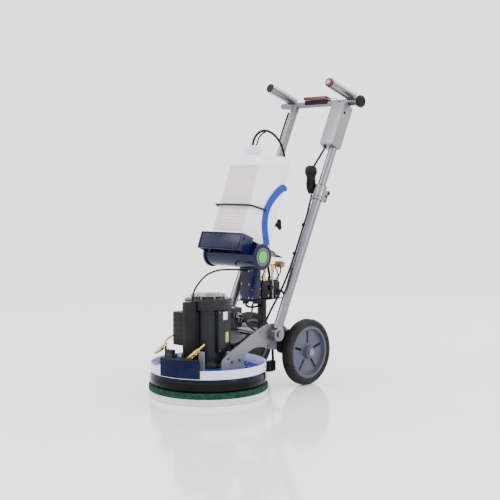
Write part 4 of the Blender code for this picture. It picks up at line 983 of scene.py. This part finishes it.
def drum():
    low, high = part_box("drum")
    centre = Vector((0, (low[1] + high[1]) / 2, (low[2] + high[2]) / 2))
    half, rim, radius, flange = 0.131, 0.121, 0.042, 0.048
    profile = [(0, -half), (flange - 0.001, -half), (flange, -half + 0.001), (flange, -rim - 0.001),
               (flange - 0.001, -rim), (radius + 0.001, -rim), (radius, -rim + 0.001), (radius, rim - 0.001),
               (radius + 0.001, rim), (flange - 0.001, rim)]
    profile += arc((flange - 0.0022, half - 0.0022), 0.0022, 0, 90, 5) + [(0, half)]
    shell = turned("drum_skin", profile, 96, centre, (1, 0, 0))
    piece(shell, "navy_paint", "drum", angle=40)
    for name, look, near, far, height in (("badge_ring", "emblem_ring", 0.0245, 0.034, 0.0006),
                                          ("badge_edge", "black_plastic", 0.0225, 0.025, 0.001),
                                          ("badge_border", "black_plastic", 0.0335, 0.0352, 0.001)):
        ring = [(near, half - 0.0004), (far, half - 0.0004), (far, half + height), (near, half + height)]
        piece(turned(name, ring, 96, centre, (1, 0, 0)), look, slot="navy_paint")
    face = [(0, half - 0.0004), (0.0228, half - 0.0004), (0.0228, half + 0.0005), (0, half + 0.0008)]
    piece(turned("badge_face", face, 72, centre, (1, 0, 0)), "emblem_face")


def straps():
    centre = smooth_course([(0, 0.215, 0.5292), (0, 0.211, 0.55), (0, 0.205, 0.585), (0, 0.2045, 0.62),
                            (0, 0.213, 0.655), (0, 0.231, 0.685), (0, 0.256, 0.71), (0, 0.281, 0.729),
                            (0, 0.306, 0.74), (0, 0.324, 0.733)], 6)
    half = 0.015
    for name, side in SIDES:
        inner, outer = side * 0.0873, side * 0.0905
        bm = bmesh.new()
        rings = []
        for k, point in enumerate(centre):
            along = (centre[min(k + 1, len(centre) - 1)] - centre[max(k - 1, 0)]).normalized()
            across = Vector((0, -along.z, along.y)) * min(half, half * (len(centre) - k + 6) / 14)
            ring = []
            for x, reach in ((inner, 1), (outer - side * 0.0008, 1), (outer, 0.95), (outer, -0.95),
                             (outer - side * 0.0008, -1), (inner, -1)):
                ring.append(point + across * reach + Vector((x, 0, 0)))
            rings.append(ring)
        skin(bm, rings)
        finish(f"strap_{name}_skin", bm, "blue_paint", f"strap_{name}", angle=35)
    x, front, z = 0.087 + 0.0082, 0.1245, 0.68
    points = [(x, 0.204, 0.66), (x, 0.183, 0.665), (x, 0.156, 0.6715), (x - 0.0025, 0.136, 0.677),
              (x - 0.013, front, z), (x - 0.03, front - 0.002, z + 0.0005),
              (x - 0.06, front - 0.0026, z + 0.0007)]
    course = points + [(-px, py, pz) for px, py, pz in points[::-1]]
    hose("tank_hoop_skin", course, 0.0041, "tank_hoop", look="navy_paint")
    bm = bmesh.new()
    for side in (1, -1):
        clip = side * 0.0985
        add_block(bm, (clip - 0.0035, 0.196, 0.653), (clip + 0.0035, 0.209, 0.668), 0.0015)
        add_bolt(bm, (side * 0.0905, 0.209, 0.556), (side, 0, 0), 0.0032, 0.0022)
        add_bolt(bm, (side * 0.0905, 0.2045, 0.615), (side, 0, 0), 0.0026, 0.0018)
    finish("hoop_clips", bm, "blue_paint")
    bm = bmesh.new()
    start = Vector(JOINT["cradle_knob_turn"]["pos_m"])
    end = start + Vector((0, 0.046, 0.0063))
    axis = (end - start).normalized()
    add_rod(bm, start, end, 0.0045, 24)
    add_rod(bm, end - axis * 0.01, end - axis * 0.001, 0.009, 24, 0.0015)
    middle, up = end + axis * 0.006, Vector((0, -axis.z, axis.y))
    add_rods(bm, (end - axis * 0.004, end + axis * 0.006, 0.0105, 32, 0.002),
             (middle - up * 0.0205, middle + up * 0.0205, 0.0078, 32, 0.0036),
             (middle - up * 0.0185, middle - up * 0.005, 0.0088, 32, 0.003),
             (middle + up * 0.005, middle + up * 0.0185, 0.0088, 32, 0.003))
    finish("tank_knob_skin", bm, "black_plastic", "tank_knob", body="cradle_knob", angle=40)


# ---------------------------------------------------------------- pump
def pump():
    low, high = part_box("pump_motor")
    bm = bmesh.new()
    for z in (low[2] + 0.01, low[2] + 0.06, high[2] - 0.012):
        for x in (-0.019, 0.019):
            add_bolt(bm, (x, low[1], z), (0, -1, 0), 0.0032, 0.0022)
    for y in (low[1] + 0.008, high[1] - 0.008):
        for z in (low[2] + 0.008, low[2] + 0.04, high[2] - 0.01):
            add_bolt(bm, (high[0], y, z), (1, 0, 0), 0.0028, 0.0018)
    add_rods(bm, ((0.03, 0.346, 0.344), (0.0345, 0.346, 0.344), 0.0055, 20, 0.0012),
             ((0.03, 0.284, 0.334), (0.0345, 0.284, 0.334), 0.0045, 20, 0.0012),
             ((0.03, 0.33, 0.329), (0.034, 0.33, 0.329), 0.0045, 20, 0.0012))
    finish("pump_bolts", bm, "steel", angle=25)
    bm = bmesh.new()
    add_block(bm, (0.0302, 0.306, 0.318), (0.0325, 0.315, 0.39), 0.0008)
    finish("pump_strap", bm, "frame_paint", slot="steel")
    bm = bmesh.new()
    for k in range(5):
        z = low[2] + 0.018 + 0.02 * k
        add_block(bm, (-0.0262, low[1] + 0.004, z), (-0.0248, high[1] - 0.004, z + 0.006), 0.0008)
        add_block(bm, (0.0248, low[1] + 0.016, z), (0.026, high[1] - 0.016, z + 0.006), 0.0006)
    finish("pump_fins", bm, "navy_paint")
    bm = bmesh.new()
    add_block(bm, (-0.02, 0.26, 0.3848), (0.026, 0.35, 0.39), 0.002)
    add_rod(bm, (-0.014, 0.3435, 0.3845), (-0.014, 0.3435, 0.4), 0.008, 6)
    add_rod(bm, (0.03, 0.3, 0.364), (0.037, 0.3, 0.364), 0.01, 32, 0.0015)
    add_block(bm, (-0.022, 0.2, 0.306), (-0.006, 0.22, 0.3182), 0.002)
    add_block(bm, (0.006, 0.228, 0.306), (0.022, 0.246, 0.3182), 0.002)
    finish("pump_fittings", bm, "black_plastic")
    bm = bmesh.new()
    add_rods(bm, ((0.012, 0.282, 0.3853), (0.012, 0.282, 0.412), 0.008, 6, 0.001),
             ((0.012, 0.282, 0.4), (0.012, 0.282, 0.406), 0.0095, 24),
             ((0.012, 0.282, 0.41), (0.012, 0.3, 0.452), 0.0055),
             ((0.012, 0.288, 0.424), (0.012, 0.293, 0.436), 0.0078, 6),
             ((0.012, 0.292, 0.449), (0.012, 0.356, 0.449), 0.0072))
    for y in (0.296, 0.318, 0.338):
        add_rod(bm, (0.012, y, 0.449), (0.012, y + 0.006, 0.449), 0.009, 6)
    add_rods(bm, ((0.012, 0.33, 0.449), (0.012, 0.33, 0.3853), 0.0045),
             ((0.012, 0.33, 0.398), (0.012, 0.33, 0.3853), 0.0075, 6),
             ((0.012, 0.33, 0.43), (0.012, 0.33, 0.42), 0.007, 6),
             ((0.012, 0.302, 0.447), (0.012, 0.302, 0.463), 0.005, 16),
             ((0.012, 0.302, 0.462), (0.012, 0.302, 0.468), 0.007, 6))
    finish("brass_skin", bm, "brass", "brass_fittings", angle=28)
    bm = bmesh.new()
    profile = [(0, 0), (0.0125, 0), (0.013, 0.001), (0.013, 0.012), (0.0118, 0.0135), (0.0118, 0.0175),
               (0.013, 0.019), (0.013, 0.029), (0.0115, 0.0315), (0, 0.032)]
    add_turned(bm, profile, 48, (0.014, 0.352, 0.449), (1, 0, 0))
    finish("regulator", bm, "amber")
    for name, points in (("pump_hose_1", [(0.02, 0.336, 0.44), (0.024, 0.344, 0.424), (0.024, 0.35, 0.402),
                                          (0.02, 0.352, 0.384)]),
                         ("pump_hose_2", [(0.034, 0.352, 0.437), (0.036, 0.35, 0.42), (0.032, 0.336, 0.4),
                                          (0.026, 0.326, 0.384)])):
        hose(name, points, 0.0026)
    lead = [(0.031, 0.346, 0.35), (0.048, 0.35, 0.344), (0.066, 0.34, 0.325), (0.08, 0.318, 0.3),
            (0.09, 0.292, 0.272), (0.094, 0.268, 0.248), (0.094, 0.252, 0.225)]
    hose("pump_supply", lead, 0.0044)
    x = NECK_X
    course = [(x, NECK_Y, NECK_Z + 0.024), (x, NECK_Y + 0.001, 0.906), (-0.011, 0.258, 0.931),
              (-0.009, 0.282, 0.951), (-0.006, 0.315, 0.957), (-0.003, 0.351, 0.945), (0, 0.385, 0.916),
              (0, 0.406, 0.88), (0, 0.416, 0.84), (-0.003, 0.414, 0.8), (-0.01, 0.396, 0.745),
              (-0.018, 0.366, 0.69), (-0.022, 0.342, 0.63), (-0.022, 0.33, 0.57), (-0.02, 0.327, 0.51),
              (-0.016, 0.334, 0.45), (-0.014, 0.341, 0.41), (-0.014, 0.3435, 0.39)]
    hose("suction_hose_skin", course, 0.0048, "suction_hose")
    vent = [(x, 0.264, 0.896), (x, 0.27, 0.908), (x, 0.279, 0.927), (x + 0.002, 0.294, 0.944),
            (x + 0.004, 0.312, 0.952)]
    hose("vent_hose", vent, 0.003)


# ---------------------------------------------------------------- under the chassis
def undercarriage():
    bm = bmesh.new()
    add_block(bm, (0.079, 0.212, 0.06), (0.101, 0.254, 0.101), 0.006)
    finish("rubber_block", bm, "rubber")
    hose("block_hanger", [(0.09, 0.245, 0.145), (0.09, 0.247, 0.12), (0.09, 0.248, 0.098)], 0.005)
    bm = bmesh.new()
    for side in (1, -1):
        for y, z in ((0.3, 0.165), (0.345, 0.125)):
            add_bolt(bm, (side * 0.1245, y, z), (side, 0, 0), 0.004, 0.0026)
        add_bolt(bm, (side * 0.1583, PIVOT.y, PIVOT.z), (side, 0, 0), 0.006, 0.0012)
    finish("frame_bolts", bm, "steel", angle=25)


tank()
cradle_trim()
drum()
straps()
pump()
undercarriage()


# ---------------------------------------------------------------- parts kept from the model
# a part that no piece replaces is copied with rounded edges, or keeps its mesh and gets its look
ROUNDING = {
    "pad_driver": 0.001, "arm_left": 0.0012, "arm_right": 0.0012, "axle_carrier": 0.001, "front_box": 0.0025,
    "terminal_box": 0.0022, "switch_box": 0.0016, "lever_housing": 0.0018, "cradle": 0.0008,
    "pump_motor": 0.0022,
    "pump_head": 0.0025, "clamp_lever_left": 0.0012, "clamp_lever_right": 0.0012, "pivot_shaft": 0.001,
    "spray_bar": 0.0008,
}
SPECIAL = {"switch_box": "box_metal"}
replaced = {name for obj in bpy.data.objects for name in obj.get("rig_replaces", [])}
for node, obj in frame["nodes"].items():
    if node in replaced:
        continue
    if node in ROUNDING:
        soften(node, ROUNDING[node], look=SPECIAL.get(node))
    else:
        obj.data.materials.clear()
        obj.data.materials.append(look_of(SLOT_OF[node]))
